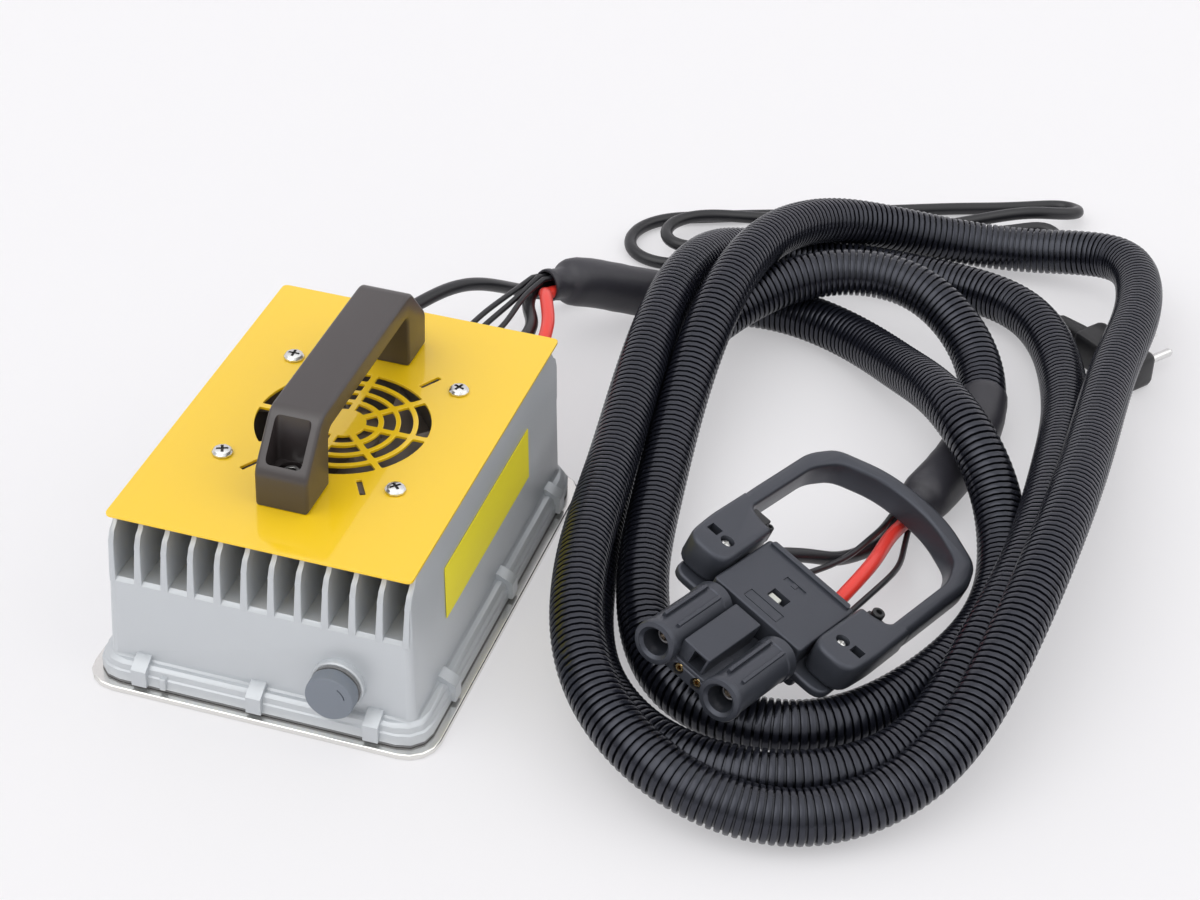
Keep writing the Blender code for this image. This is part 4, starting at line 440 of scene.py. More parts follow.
def grown(outline, distance):
    """Moves an anticlockwise outline outwards, and widens its rounded corners with it."""
    points, radii = outline
    moved = []
    reach = []
    for i, here in enumerate(points):
        before = (here - points[i - 1]).normalized()
        after = (points[(i + 1) % len(points)] - here).normalized()
        normal = Vector((before.y + after.y, -before.x - after.x)).normalized()
        spread = max(LEAST_MITRE, normal.dot(Vector((before.y, -before.x))))
        moved.append(here + normal * distance / spread)
        tangent = before.cross(after) / max(LEAST_TANGENT, 1 + before.dot(after))
        reach.append(max(LEAST_REACH, radii[i] + distance * tangent) if radii[i] else 0.0)
    return moved, reach


def softened(outline, steps=5):
    """The outline's points, with a curve in place of each corner that has a reach."""
    points, radii = outline
    soft = []
    for i, here in enumerate(points):
        if not radii[i]:
            soft.append(here)
            continue
        back = points[i - 1] - here
        ahead = points[(i + 1) % len(points)] - here
        cut = min(radii[i], back.length * SIDE_SHARE, ahead.length * SIDE_SHARE)
        start = here + back.normalized() * cut
        end = here + ahead.normalized() * cut
        for k in range(steps + 1):
            t = k / steps
            soft.append(start * (1 - t) ** 2 + here * 2 * t * (1 - t) + end * t ** 2)
    return soft


def placed(points, height, axis):
    """Flat points as a ring at a height along an axis."""
    if axis == "X":
        return [(height, a, b) for a, b in points]
    if axis == "Y":
        return [(a, height, b) for a, b in points]
    return [(a, b, height) for a, b in points]


def slab(bm, outline, low, high, edge=0.0, axis="Z", hollow=False):
    """A prism over an outline. Its two rims are rounded, or flared when it cuts a hole."""
    marks = [(0.0, 0.0)]
    if edge:
        turns = [math.pi / 8 * k for k in range(5)]
        marks = [(edge * (1 - math.sin(a)), edge * (1 - math.cos(a))) for a in turns]
    sign = 1 if hollow else -1
    rings = [(sign * inset, low + rise) for inset, rise in marks]
    rings += [(sign * inset, high - rise) for inset, rise in reversed(marks)]
    skin_rings(bm, [placed(softened(grown(outline, inset)), height, axis) for inset, height in rings])


def rectangle(x0, y0, x1, y1):
    return [(x0, y0), (x1, y0), (x1, y1), (x0, y1)]


def box(bm, low, high, edge=0.0, radius=0.0):
    """A slab between two opposite corners."""
    outline = rectangle(low[0], low[1], high[0], high[1])
    slab(bm, corners(outline, radius), low[2], high[2], edge)


def revolved(bm, profile, sides, place):
    """Spins a profile of (radius, height) about Z and puts it in its place."""
    angles = [math.tau * i / sides for i in range(sides)]
    rows = []
    for radius, height in profile:
        ring = [place @ Vector((radius * math.cos(a), radius * math.sin(a), height)) for a in angles]
        rows.append([bm.verts.new(point) for point in ring])
    for low, high in zip(rows, rows[1:]):
        for i in range(sides):
            j = (i + 1) % sides
            bm.faces.new((low[i], low[j], high[j], high[i]))
    bm.faces.new(rows[0][::-1])
    bm.faces.new(rows[-1])


def towards(direction, at):
    """A place at a point, with its Z turned into a direction."""
    turn = Vector((0, 0, 1)).rotation_difference(Vector(direction)).to_matrix().to_4x4()
    return Matrix.Translation(at) @ turn


def boolean(bm, other, operation="DIFFERENCE"):
    """Cuts or joins two closed meshes and gives back a new one."""
    pair = []
    for name, part in (("target", bm), ("tool", other)):
        bmesh.ops.recalc_face_normals(part, faces=part.faces)
        mesh = bpy.data.meshes.new(name)
        part.to_mesh(mesh)
        part.free()
        pair.append(linked(name, mesh))
    modifier = pair[0].modifiers.new("Boolean", "BOOLEAN")
    modifier.operation = operation
    modifier.solver = "EXACT"
    modifier.object = pair[1]
    bpy.context.view_layer.update()
    result = bmesh.new()
    result.from_object(pair[0], bpy.context.evaluated_depsgraph_get())
    for obj in pair:
        bpy.data.objects.remove(obj)
    return result


def with_block(bm, low, high, edge, radius):
    """Joins a rounded block to a closed mesh."""
    block = bmesh.new()
    box(block, low, high, edge, radius)
    return boolean(bm, block, "UNION")


print("shape helpers ready")

# %% [markdown]
# ## Top cover
#
# The cover is one flat painted sheet. Its grille is four rings of slots with round corners,
# with eight spokes left between them, and there is a slit towards each corner. The slots could
# be painted on, but the fan has to show through, so they are cut with a single Boolean.

# %% Cover with its grille
GRILLE_RINGS = ((0.0107, 0.0161), (0.0187, 0.0241), (0.0264, 0.0320), (0.0344, 0.0403))
SECTORS = 8
ARC_STEPS = 8
SPOKE_W = 0.003
SLOT_CORNER = 0.0011
SLIT_AT = (0.026, 0.044)
SLIT_HALF_L = 0.00575
SLIT_HALF_W = 0.0013
COVER_CORNER = 0.003
CUT_PAST = 0.001
low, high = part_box("top_cover")
COVER_Z, COVER_TOP = low.z, high.z


def slot_outline(inner, outer, middle):
    """One slot of a ring: an arc out, an arc back, and four round corners."""
    points = []
    for radius, way in ((outer, 1), (inner, -1)):
        reach = math.pi / SECTORS - math.asin(SPOKE_W / 2 / radius)
        for i in range(ARC_STEPS + 1):
            angle = middle + way * reach * (i / (ARC_STEPS / 2) - 1)
            points.append((radius * math.cos(angle), radius * math.sin(angle)))
    ends = (0, ARC_STEPS, ARC_STEPS + 1, 2 * ARC_STEPS + 1)
    return corners(points, [SLOT_CORNER if i in ends else 0.0 for i in range(len(points))])


def punch(outline):
    slab(holes, outline, COVER_Z - CUT_PAST, COVER_TOP + CUT_PAST)


cover = bmesh.new()
box(cover, (low.x, low.y, COVER_Z), (high.x, high.y, COVER_TOP), 0.0, COVER_CORNER)
holes = bmesh.new()
for inner, outer in GRILLE_RINGS:
    for sector in range(SECTORS):
        punch(slot_outline(inner, outer, math.tau * (sector + 0.5) / SECTORS))
for sign_x in (-1, 1):
    for sign_y in (-1, 1):
        middle = Vector((sign_x * SLIT_AT[0], sign_y * SLIT_AT[1]))
        along = middle.normalized() * SLIT_HALF_L
        across = Vector((-along.y, along.x)).normalized() * SLIT_HALF_W
        slit = [
            middle - along - across, middle + along - across, middle + along + across,
            middle - along + across,
        ]
        punch(corners(slit, 0.0005))
cover = boolean(cover, holes)
cover = add_piece("top_cover_finished", cover, COVER_YELLOW, "charger", ("top_cover",), 40)
soften(cover, 0.00025, 50)
print("cover with", len(GRILLE_RINGS) * SECTORS, "slots")

# %% [markdown]
# ## Bridge handle
#
# The handle is one fat moulding with a sunk screw at each foot. Its side view says nearly
# everything, so it is drawn once and made 25 mm wide. The pockets and the stepped screw holes
# are cut out of it afterwards, which keeps their floors flat.

# %% Bridge handle
HANDLE_Z = 0.0903
HANDLE_TOP = 0.1298
HANDLE_HALF_W = 0.0125
GRIP_UNDER = HANDLE_TOP - 0.0112
SHOULDER = HANDLE_Z + 0.0177
SLOPE_L = 0.0190
POCKET_HALF_W = 0.0085
POCKET_Z = HANDLE_Z + 0.0137
FRONT, REAR = -0.0715, 0.0746
side_view = [
    (FRONT, HANDLE_Z), (FRONT + 0.0247, HANDLE_Z), (FRONT + 0.0257, GRIP_UNDER),
    (REAR - 0.0231, GRIP_UNDER), (REAR - 0.0216, HANDLE_Z), (REAR, HANDLE_Z), (REAR, SHOULDER),
    (REAR - SLOPE_L, HANDLE_TOP), (FRONT + SLOPE_L, HANDLE_TOP), (FRONT, SHOULDER),
]
side_radii = [0.0, 0.0, 0.004, 0.004, 0.0, 0.0, 0.003, 0.005, 0.005, 0.003]
bridge = bmesh.new()
slab(bridge, corners(side_view, side_radii), -HANDLE_HALF_W, HANDLE_HALF_W, 0.0017, "X")
holes = bmesh.new()
for outer, inward in ((FRONT, 1), (REAR, -1)):
    ends = sorted((outer + inward * 0.0026, outer + inward * 0.0175))
    box(holes, (-POCKET_HALF_W, ends[0], POCKET_Z), (POCKET_HALF_W, ends[1], HANDLE_TOP + 0.01),
        0.0, 0.0024)
bridge = boolean(bridge, holes)
holes = bmesh.new()
for node in ("handle_screw_1", "handle_screw_2"):
    low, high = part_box(node)
    at = Matrix.Translation(((low.x + high.x) / 2, (low.y + high.y) / 2, HANDLE_Z))
    profile = [(0.0028, -0.001), (0.0028, 0.0077), (0.0056, 0.0077), (0.0056, 0.016)]
    revolved(holes, profile, 28, at)
bridge = boolean(bridge, holes)
bridge = add_piece("bridge_handle_finished", bridge, HANDLE_CHARCOAL, "charger", ("bridge_handle",), 40)
soften(bridge, 0.0005, 45)
print("bridge handle")

# %% [markdown]
# ## Vent plug, fin feet and tab
#
# A plug with six shallow flats and a curved mark closes the vent on the front wall. Each fin
# ends in a thicker foot that is flush with the end wall. The feet are skins over four outlines
# that shrink on the way up, which gives their taper without a Boolean.

# %% Vent plug
PLUG_R = 0.0114
PLUG_HEAD_L = 0.0078
PLUG_STEM_R = 0.006
low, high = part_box("vent_plug")
vent_at = Vector(((low.x + high.x) / 2, low.y, (low.z + high.z) / 2))


def on_vent(radius, angle):
    return vent_at.x + radius * math.cos(angle), vent_at.z + radius * math.sin(angle)


plug = bmesh.new()
outline = []
for i in range(48):
    angle = math.tau * i / 48
    flat = 1.0 - 0.018 * (0.5 + 0.5 * math.cos(6 * angle + 0.6))
    outline.append(on_vent(PLUG_R * flat, angle))
slab(plug, corners(outline, 0.0), vent_at.y, vent_at.y + PLUG_HEAD_L, 0.0009, "Y")
slot = bmesh.new()
mark = []
for radius, way in ((0.0078, 1), (0.0072, -1)):
    mark += [on_vent(radius, 0.2 + 0.1 * k) for k in range(9)[::way]]
slab(slot, corners(mark, 0.0), vent_at.y - 0.001, vent_at.y + 0.0012, 0.0, "Y")
plug = boolean(plug, slot)
stem = bmesh.new()
stem_line = [(PLUG_STEM_R, -0.0005), (PLUG_STEM_R, high.y - vent_at.y - PLUG_HEAD_L)]
revolved(stem, stem_line, 24, towards((0, 1, 0), (vent_at.x, vent_at.y + PLUG_HEAD_L, vent_at.z)))
plug = boolean(plug, stem, "UNION")
add_piece("vent_plug_finished", plug, VENT_GREY, "charger", ("vent_plug",), 40)
print("vent plug at", tuple(round(value, 3) for value in vent_at))

# %% Fin feet and tab
FINS = 12
FIN_PITCH = (0.140 - 0.002) / (FINS - 1)
FIN_REACH = 0.07015
WALL_FACE, FIN_FACE = 0.10165, 0.0999
# Height, face and half of the width of a foot.
FOOT_RINGS = (
    (0.0546, WALL_FACE, 0.00185), (0.0585, WALL_FACE, 0.00181), (0.0665, 0.1010, 0.0016),
    (0.0750, FIN_FACE + 0.0001, 0.00137),
)
feet = bmesh.new()
for sign in (-1, 1):
    for fin in range(FINS):
        x = (fin - (FINS - 1) / 2) * FIN_PITCH
        rings = []
        for height, face, half in FOOT_RINGS:
            left, right = max(x - half, -FIN_REACH), min(x + half, FIN_REACH)
            ends = sorted((sign * (WALL_FACE - 0.005), sign * face))
            outer = 0 if sign < 0 else 2
            radii = [0.0006 if i in (outer, outer + 1) else 0.0 for i in range(4)]
            outline = corners(rectangle(left, ends[0], right, ends[1]), radii)
            rings.append(placed(softened(outline), height, "Z"))
        skin_rings(feet, rings)
add_piece("fin_feet", feet, CAST_SILVER, "charger", (), 40)
tab = bmesh.new()
box(tab, (-0.0459, -0.1097, 0.0048), (-0.0427, -0.1055, 0.0112), 0.0007, 0.0010)
add_piece("flange_tab", tab, CAST_SILVER, "charger", (), 40)
print(2 * FINS, "fin feet and the flange's tab")

# %% [markdown]
# ## Connector
#
# The connector is moulded in black: a base with two barrels for the main contacts, a flat shell
# over the leads, and a grip with two lugs. It lies tilted across the loops, so every piece is
# built in the connector's own frame, with the barrels towards -Y, and turned into place at the
# end. Rounded blocks and turned barrels are joined by Booleans, as the mould joins them.

# %% Connector frame
CONNECTOR_ANGLES = [math.radians(angle) for angle in (-9.1, 18.9, -21.34)]
CONNECTOR_TURN = Euler(CONNECTOR_ANGLES, "XYZ").to_matrix().to_4x4()
CONNECTOR = Matrix.Translation((0.1939, -0.0293, 0.028)) @ CONNECTOR_TURN
SHELL_LOW, SHELL_TOP = 0.0173, 0.0284
SHELL_REAR = 0.0494
LUG_TOP = 0.033
LUG_SCREW_X, LUG_SCREW_Y = 0.0343, 0.0217
LUG_SLOT_X, LUG_SLOT_HALF_W = 0.0424, 0.0029
NOSE_FACE = -0.044
BARREL_X = 0.0187
BARREL_Z = 0.0196
BARREL_R = 0.0103
BARREL_FACE, BARREL_BACK = -0.0488, -0.0003
AUX_X, AUX_Z = 0.0051, 0.0140
CUT_OVER = 0.001


def on_connector(node, bm, material, width=0.0):
    """Turns a mesh into its place. It stands for the solid of its name, where there is one."""
    bmesh.ops.transform(bm, matrix=CONNECTOR, verts=bm.verts)
    name, replaced = (f"{node}_finished", (node,)) if node in nodes else (node, ())
    obj = add_piece(name, bm, material, "charger", replaced, 38)
    if width:
        soften(obj, width, 40)
    return obj


def grip_shape(half_w, near_y, corner_y, mid_y):
    """Half of the bow is drawn, and the other half mirrors it."""
    back = 0.016
    right = [
        (half_w - 0.0015, near_y), (half_w, near_y + 0.02), (half_w, corner_y - back),
        (half_w - back * 0.4, corner_y + 0.001), (half_w * 0.4, mid_y - (mid_y - corner_y) * 0.14),
    ]
    outline = right + [(0.0, mid_y)] + [(-x, y) for x, y in reversed(right)]
    radii = [0.004, 0.01, 0.006, 0.006, 0.012, 0.02, 0.012, 0.006, 0.006, 0.01, 0.004]
    return corners(outline, radii)


print("connector at", tuple(round(value, 3) for value in CONNECTOR.translation))

# %% Connector grip and lugs
LUG_PLAN = (
    (0.0260, 0.0075), (0.0482, 0.0075), (0.0500, 0.0300), (0.0500, 0.0590), (0.0424, 0.0590),
    (0.0405, 0.0530), (0.0335, 0.0505), (0.0268, 0.0500), (0.0262, 0.0300),
)
LUG_RADII = (0.009, 0.009, 0.006, 0.0, 0.0, 0.006, 0.004, 0.002, 0.006)
grip = bmesh.new()
slab(grip, grip_shape(0.0501, 0.041, 0.1318, 0.1479), 0.0190, LUG_TOP, 0.0034)
window = bmesh.new()
slab(window, grip_shape(0.0417, 0.030, 0.1240, 0.1372), 0.0188, LUG_TOP + 0.0002, 0.0022, "Z", True)
grip = boolean(grip, window)
for sign in (-1, 1):
    lug = bmesh.new()
    outline = [(sign * x, y) for x, y in LUG_PLAN][::sign]
    slab(lug, corners(outline, LUG_RADII[::sign]), 0.0173, LUG_TOP, 0.0024)
    grip = boolean(grip, lug, "UNION")
holes = bmesh.new()
for sign in (-1, 1):
    revolved(holes, [(0.0034, LUG_TOP - 0.0042), (0.0034, LUG_TOP + CUT_OVER)], 24,
             Matrix.Translation((sign * LUG_SCREW_X, LUG_SCREW_Y, 0.0)))
    middle = sign * LUG_SLOT_X
    box(holes, (middle - LUG_SLOT_HALF_W, 0.0196, LUG_TOP - 0.007),
        (middle + LUG_SLOT_HALF_W, 0.0250, LUG_TOP + CUT_OVER))
grip = boolean(grip, holes)
grip_piece = on_connector("connector_handle", grip, CONNECTOR_BLACK, 0.0004)

clips = bmesh.new()
for low, high in (
    ((-0.0405, 0.0500, 0.0235), (-0.0310, 0.0556, 0.0318)),
    ((-0.0318, 0.0490, 0.0235), (-0.0272, 0.0530, 0.0300)),
    ((0.0295, 0.0490, 0.0235), (0.0400, 0.0553, 0.0300)),
):
    box(clips, low, high, 0.0006, 0.0010)
for x, y, top, radius in ((-0.0292, 0.0518, 0.0318, 0.0020), (0.0340, 0.0540, 0.0334, 0.0031)):
    post = [(radius, -0.006), (radius, -0.0004), (radius - 0.0004, 0.0),
            (radius * 0.5, 0.0), (radius * 0.5, -0.0018)]
    revolved(clips, post, 24, Matrix.Translation((x, y, top)))
clip_piece = on_connector("connector_clips", clips, SOCKET_DARK)
print("grip with two lugs")

# %% Connector shell and key
shell = bmesh.new()
box(shell, (-0.0254, 0.0022, SHELL_LOW), (0.0254, SHELL_REAR, SHELL_TOP), 0.0011, 0.0022)
lip = bmesh.new()
lip_plan = [(-0.0235, 0.0462), (0.0235, 0.0462), (0.0225, SHELL_REAR), (-0.0225, SHELL_REAR)]
slab(lip, corners(lip_plan, 0.001), 0.0270, SHELL_TOP + 0.0013, 0.0004)
shell = boolean(shell, lip, "UNION")
marks = bmesh.new()
for x0, y0, x1, y1, depth, radius in (
    (-0.0050, 0.0172, 0.0044, 0.0242, 0.0050, 0.0006),
    (-0.0060, 0.0325, 0.0054, 0.0365, 0.0006, 0.0004),
    (-0.0110, 0.0060, 0.0085, 0.0130, 0.0004, 0.0005),
):
    box(marks, (x0, y0, SHELL_TOP - depth), (x1, y1, SHELL_TOP + CUT_OVER), 0.0, radius)
shell = boolean(shell, marks)
raised = bmesh.new()
for x0, y0, x1, y1, radius in (
    (-0.0018, 0.0330, 0.0008, 0.0360, 0.0003), (-0.0104, 0.0066, 0.0079, 0.0124, 0.0004),
):
    box(raised, (x0, y0, SHELL_TOP - 0.001), (x1, y1, SHELL_TOP - 0.0001), 0.0, radius)
shell = boolean(shell, raised, "UNION")
shell_piece = on_connector("connector_shell", shell, CONNECTOR_BLACK, 0.0003)
key = bmesh.new()
box(key, (-0.0046, 0.0176, SHELL_TOP - 0.0050), (0.0012, 0.0222, SHELL_TOP - 0.0012), 0.0004, 0.0006)
key_piece = on_connector("coding_key", key, KEY_PALE)
print("shell with a coding key")

# %% Connector nose
# The keel, the web between the barrels, its thick front and the block on it: two corners, the
# rounding of the rims and that of the outline.
NOSE_BLOCKS = (
    ((-0.0300, 0.0022, 0.0082), (0.0300, 0.0468, 0.0150), 0.0012, 0.003),
    ((-0.0262, NOSE_FACE, 0.0104), (0.0262, 0.0080, 0.0166), 0.0008, 0.0012),
    ((-0.0110, NOSE_FACE + 0.0004, 0.0106), (0.0110, -0.0200, 0.0182), 0.0006, 0.001),
    ((-0.0100, -0.0418, 0.0110), (0.0050, BARREL_BACK, 0.0272), 0.0007, 0.001),
)
BARREL_L = BARREL_BACK - BARREL_FACE
BARREL_PROFILE = [
    (BARREL_R - 0.0012, 0.0), (BARREL_R, 0.0012), (BARREL_R, 0.0065), (BARREL_R - 0.0006, 0.0072),
    (BARREL_R - 0.0006, 0.0445), (BARREL_R, 0.0452), (BARREL_R, BARREL_L - 0.0010),
    (BARREL_R - 0.0004, BARREL_L - 0.0003), (BARREL_R - 0.0014, BARREL_L),
]
RIB_HALF_W = 0.0008
nose = bmesh.new()
box(nose, (-0.0445, 0.0020, 0.0125), (0.0445, 0.0470, 0.0170), 0.0014, [0.008, 0.008, 0.002, 0.002])
for low, high, edge, radius in NOSE_BLOCKS:
    nose = with_block(nose, low, high, edge, radius)
for sign in (-1, 1):
    barrel = bmesh.new()
    revolved(barrel, BARREL_PROFILE, 40, towards((0, -1, 0), (sign * BARREL_X, BARREL_BACK, BARREL_Z)))
    nose = boolean(nose, barrel, "UNION")
    ribs = bmesh.new()
    for aside in (-0.0048, 0.0030):
        x = sign * BARREL_X + aside
        box(ribs, (x - RIB_HALF_W, -0.0405, BARREL_Z + 0.004),
            (x + RIB_HALF_W, -0.0075, BARREL_Z + BARREL_R + 0.0002), 0.0003)
    nose = boolean(nose, ribs, "UNION")
bores = bmesh.new()
for sign in (-1, 1):
    revolved(bores, [(0.0078, -0.001), (0.0078, 0.0003), (0.0063, 0.0016), (0.0063, 0.036)], 32,
             towards((0, 1, 0), (sign * BARREL_X, BARREL_FACE, BARREL_Z)))
    revolved(bores, [(0.0028, -0.001), (0.0028, 0.018)], 20,
             towards((0, 1, 0), (sign * AUX_X, NOSE_FACE, AUX_Z)))
box(bores, (-0.0032, NOSE_FACE, 0.0185), (0.0036, -0.0340, 0.0262))
nose = boolean(nose, bores)
nose_piece = on_connector("connector_base", nose, CONNECTOR_BLACK, 0.0004)
print("nose with two barrels")

# %% Contacts and lug screws
MAIN_PIN = [(0.0044, 0.0), (0.0044, 0.0255), (0.0036, 0.0265), (0.0028, 0.0265), (0.0028, 0.012)]
AUX_PIN = [(0.0022, 0.0), (0.0022, 0.0160), (0.0018, 0.0164), (0.0010, 0.0164), (0.0010, 0.010)]
SEAT = LUG_TOP - 0.0039
SCREW_HEAD = [(0.0027, SEAT), (0.0027, SEAT + 0.0016), (0.0020, SEAT + 0.0024), (0.0010, SEAT + 0.0026)]
PINS = (
    ("main_contact", MAIN_PIN, 24, SILVERED, (BARREL_X, BARREL_FACE + 0.0357, BARREL_Z)),
    ("aux_contact", AUX_PIN, 20, BRASS, (AUX_X, NOSE_FACE + 0.0175, AUX_Z)),
)
for number, sign in enumerate((-1, 1), 1):
    for kind, profile, sides, material, (x, y, z) in PINS:
        pin = bmesh.new()
        revolved(pin, profile, sides, towards((0, -1, 0), (sign * x, y, z)))
        on_connector(f"{kind}_{number}", pin, material)
    head = bmesh.new()
    x, y = sign * LUG_SCREW_X, LUG_SCREW_Y
    revolved(head, SCREW_HEAD, 24, Matrix.Translation((x, y, 0.0)))
    for wide, deep in ((0.0016, 0.0004), (0.0004, 0.0016)):
        cross = bmesh.new()
        box(cross, (x - wide, y - deep, SEAT + 0.0014), (x + wide, y + deep, SEAT + 0.003))
        head = boolean(head, cross)
    on_connector(f"connector_screw_{number}", head, SCREW_ZINC)

# %% [markdown]
# ## Routes of the cords
#
# The cords lie where their CAD solids lie, so the same listed points come back here. A
# natural cubic curve runs through them, as a springy cable would, and everything that follows a
# cord is placed by its distance along that curve.

# %% Route points
LOOM_ROUTE = (
    (0.0265, 0.2175, 0.0415), (0.036, 0.235, 0.036), (0.058, 0.257, 0.0235),
    (0.094, 0.276, 0.0135),
    (0.137, 0.283, 0.013), (0.182, 0.267, 0.015), (0.217, 0.231, 0.025),
    (0.248, 0.186, 0.0395), (0.264, 0.163, 0.0395), (0.279, 0.143, 0.031),
    (0.293, 0.110, 0.018), (0.297, 0.066, 0.013), (0.289, 0.028, 0.013), (0.276, -0.001, 0.0128),
    (0.2285, -0.0478, 0.0128),
    (0.175, -0.041, 0.0145), (0.146, 0.001, 0.019), (0.129, 0.080, 0.025),
    (0.121, 0.158, 0.038), (0.121, 0.222, 0.053), (0.129, 0.290, 0.052),
    (0.160, 0.353, 0.034), (0.205, 0.377, 0.020), (0.260, 0.387, 0.017),
    (0.306, 0.379, 0.026), (0.324, 0.335, 0.033), (0.3235, 0.250, 0.042),
    (0.323, 0.160, 0.051), (0.320, 0.060, 0.0565), (0.311, -0.015, 0.044),
    (0.290, -0.072, 0.0245), (0.245, -0.105, 0.015), (0.190, -0.107, 0.023),
    (0.144, -0.074, 0.034), (0.119, -0.014, 0.041), (0.106, 0.075, 0.0385),
    (0.097, 0.160, 0.045), (0.094, 0.240, 0.047), (0.0965, 0.276, 0.0405),
    (0.105, 0.308, 0.029),
    (0.140, 0.335, 0.0165), (0.205, 0.342, 0.013), (0.262, 0.324, 0.0165),
    (0.297, 0.260, 0.018), (0.308, 0.165, 0.0295), (0.308, 0.075, 0.0355),
    (0.298, 0.005, 0.0285), (0.278, -0.050, 0.0155), (0.230, -0.082, 0.013),
    (0.175, -0.078, 0.013), (0.140, -0.048, 0.0135), (0.117, 0.010, 0.014),
    (0.101, 0.102, 0.013), (0.098, 0.180, 0.019), (0.118, 0.243, 0.029),
    (0.160, 0.283, 0.040), (0.210, 0.289, 0.039), (0.249, 0.261, 0.0235),
    (0.262, 0.210, 0.0142), (0.250, 0.140, 0.0142), (0.244, 0.119, 0.0148),
)
MAINS_ROUTE = (
    (-0.031, 0.141, 0.052), (-0.024, 0.160, 0.053), (-0.016, 0.182, 0.0505),
    (-0.009, 0.199, 0.0455), (0.000, 0.220, 0.034), (0.008, 0.240, 0.021),
    (0.021, 0.262, 0.009), (0.039, 0.282, 0.004), (0.062, 0.299, 0.004), (0.084, 0.312, 0.004),
    (0.104, 0.328, 0.004), (0.124, 0.348, 0.004), (0.142, 0.366, 0.004),
    (0.165, 0.379, 0.004), (0.190, 0.388, 0.004), (0.215, 0.395, 0.004),
    (0.240, 0.400, 0.004), (0.260, 0.405, 0.005), (0.271, 0.415, 0.0075),
    (0.264, 0.424, 0.010), (0.248, 0.420, 0.010), (0.225, 0.411, 0.007),
    (0.200, 0.403, 0.006), (0.180, 0.397, 0.009), (0.160, 0.391, 0.0118),
    (0.140, 0.386, 0.0118), (0.118, 0.380, 0.0115), (0.095, 0.374, 0.0115),
    (0.071, 0.366, 0.0115), (0.060, 0.355, 0.0115), (0.058, 0.342, 0.0115),
    (0.065, 0.332, 0.0118), (0.080, 0.332, 0.0118), (0.097, 0.342, 0.0115),
    (0.112, 0.355, 0.007), (0.130, 0.372, 0.004), (0.150, 0.386, 0.004),
    (0.172, 0.400, 0.004), (0.200, 0.414, 0.005), (0.228, 0.426, 0.010),
    (0.252, 0.434, 0.014), (0.269, 0.443, 0.012), (0.275, 0.455, 0.008),
    (0.267, 0.464, 0.0045), (0.250, 0.459, 0.004), (0.231, 0.450, 0.004),
    (0.209, 0.441, 0.004), (0.180, 0.428, 0.004), (0.150, 0.414, 0.004),
    (0.121, 0.400, 0.004), (0.095, 0.389, 0.004), (0.068, 0.377, 0.004),
    (0.050, 0.367, 0.004), (0.040, 0.354, 0.004), (0.038, 0.339, 0.004),
    (0.044, 0.327, 0.004), (0.057, 0.321, 0.004), (0.072, 0.323, 0.004),
    (0.090, 0.331, 0.0055), (0.106, 0.339, 0.0105), (0.120, 0.346, 0.0118),
    (0.134, 0.354, 0.0105), (0.150, 0.361, 0.006), (0.168, 0.367, 0.004),
    (0.190, 0.371, 0.004), (0.222, 0.371, 0.004), (0.245, 0.366, 0.004),
    (0.262, 0.351, 0.0065),
)
REAR_RED_ROUTE = (
    (0.0485, 0.133, 0.048), (0.046, 0.155, 0.0505), (0.0425, 0.172, 0.0500),
    (0.036, 0.190, 0.0485), (0.031, 0.203, 0.0458),
)
REAR_BLACK_ROUTE = (
    (0.029, 0.135, 0.046), (0.0340, 0.155, 0.0465), (0.0325, 0.176, 0.0445), (0.0234, 0.198, 0.0411),
)
REAR_WIRE_ROUTES = (
    ((-0.005, 0.126, 0.0455), (0.003, 0.144, 0.0490), (0.008, 0.165, 0.0495), (0.0145, 0.195, 0.0475)),
    ((-0.001, 0.126, 0.0440), (0.0068, 0.144, 0.0462), (0.012, 0.163, 0.0470), (0.018, 0.192, 0.0465)),
    ((0.003, 0.126, 0.0425), (0.014, 0.146, 0.0450), (0.021, 0.166, 0.0475), (0.0225, 0.190, 0.0485)),
)
FRONT_RED_ROUTE = ((0.2425, 0.099, 0.0195), (0.241, 0.080, 0.0245), (0.240, 0.050, 0.034))
FRONT_BLACK_ROUTE = (
    (0.238, 0.098, 0.0145), (0.233, 0.080, 0.0195), (0.226, 0.063, 0.026), (0.221, 0.052, 0.032),
    (0.2125, 0.040, 0.040),
)
FRONT_WIRE_ROUTES = (
    ((0.2365, 0.098, 0.0215), (0.234, 0.080, 0.027), (0.229, 0.058, 0.032)),
    ((0.248, 0.098, 0.0125), (0.2495, 0.080, 0.017), (0.249, 0.060, 0.024), (0.246, 0.040, 0.030)),
)

REAR_BUNDLE = ((0.0042, -0.0021), (-0.0037, -0.0026), (-0.0062, 0.0030), (-0.0025, 0.0046), (0.0013, 0.0049))
FRONT_BUNDLE = ((0.0034, 0.0022), (-0.0034, -0.0022), (-0.0044, 0.0034), (0.0044, -0.0037))


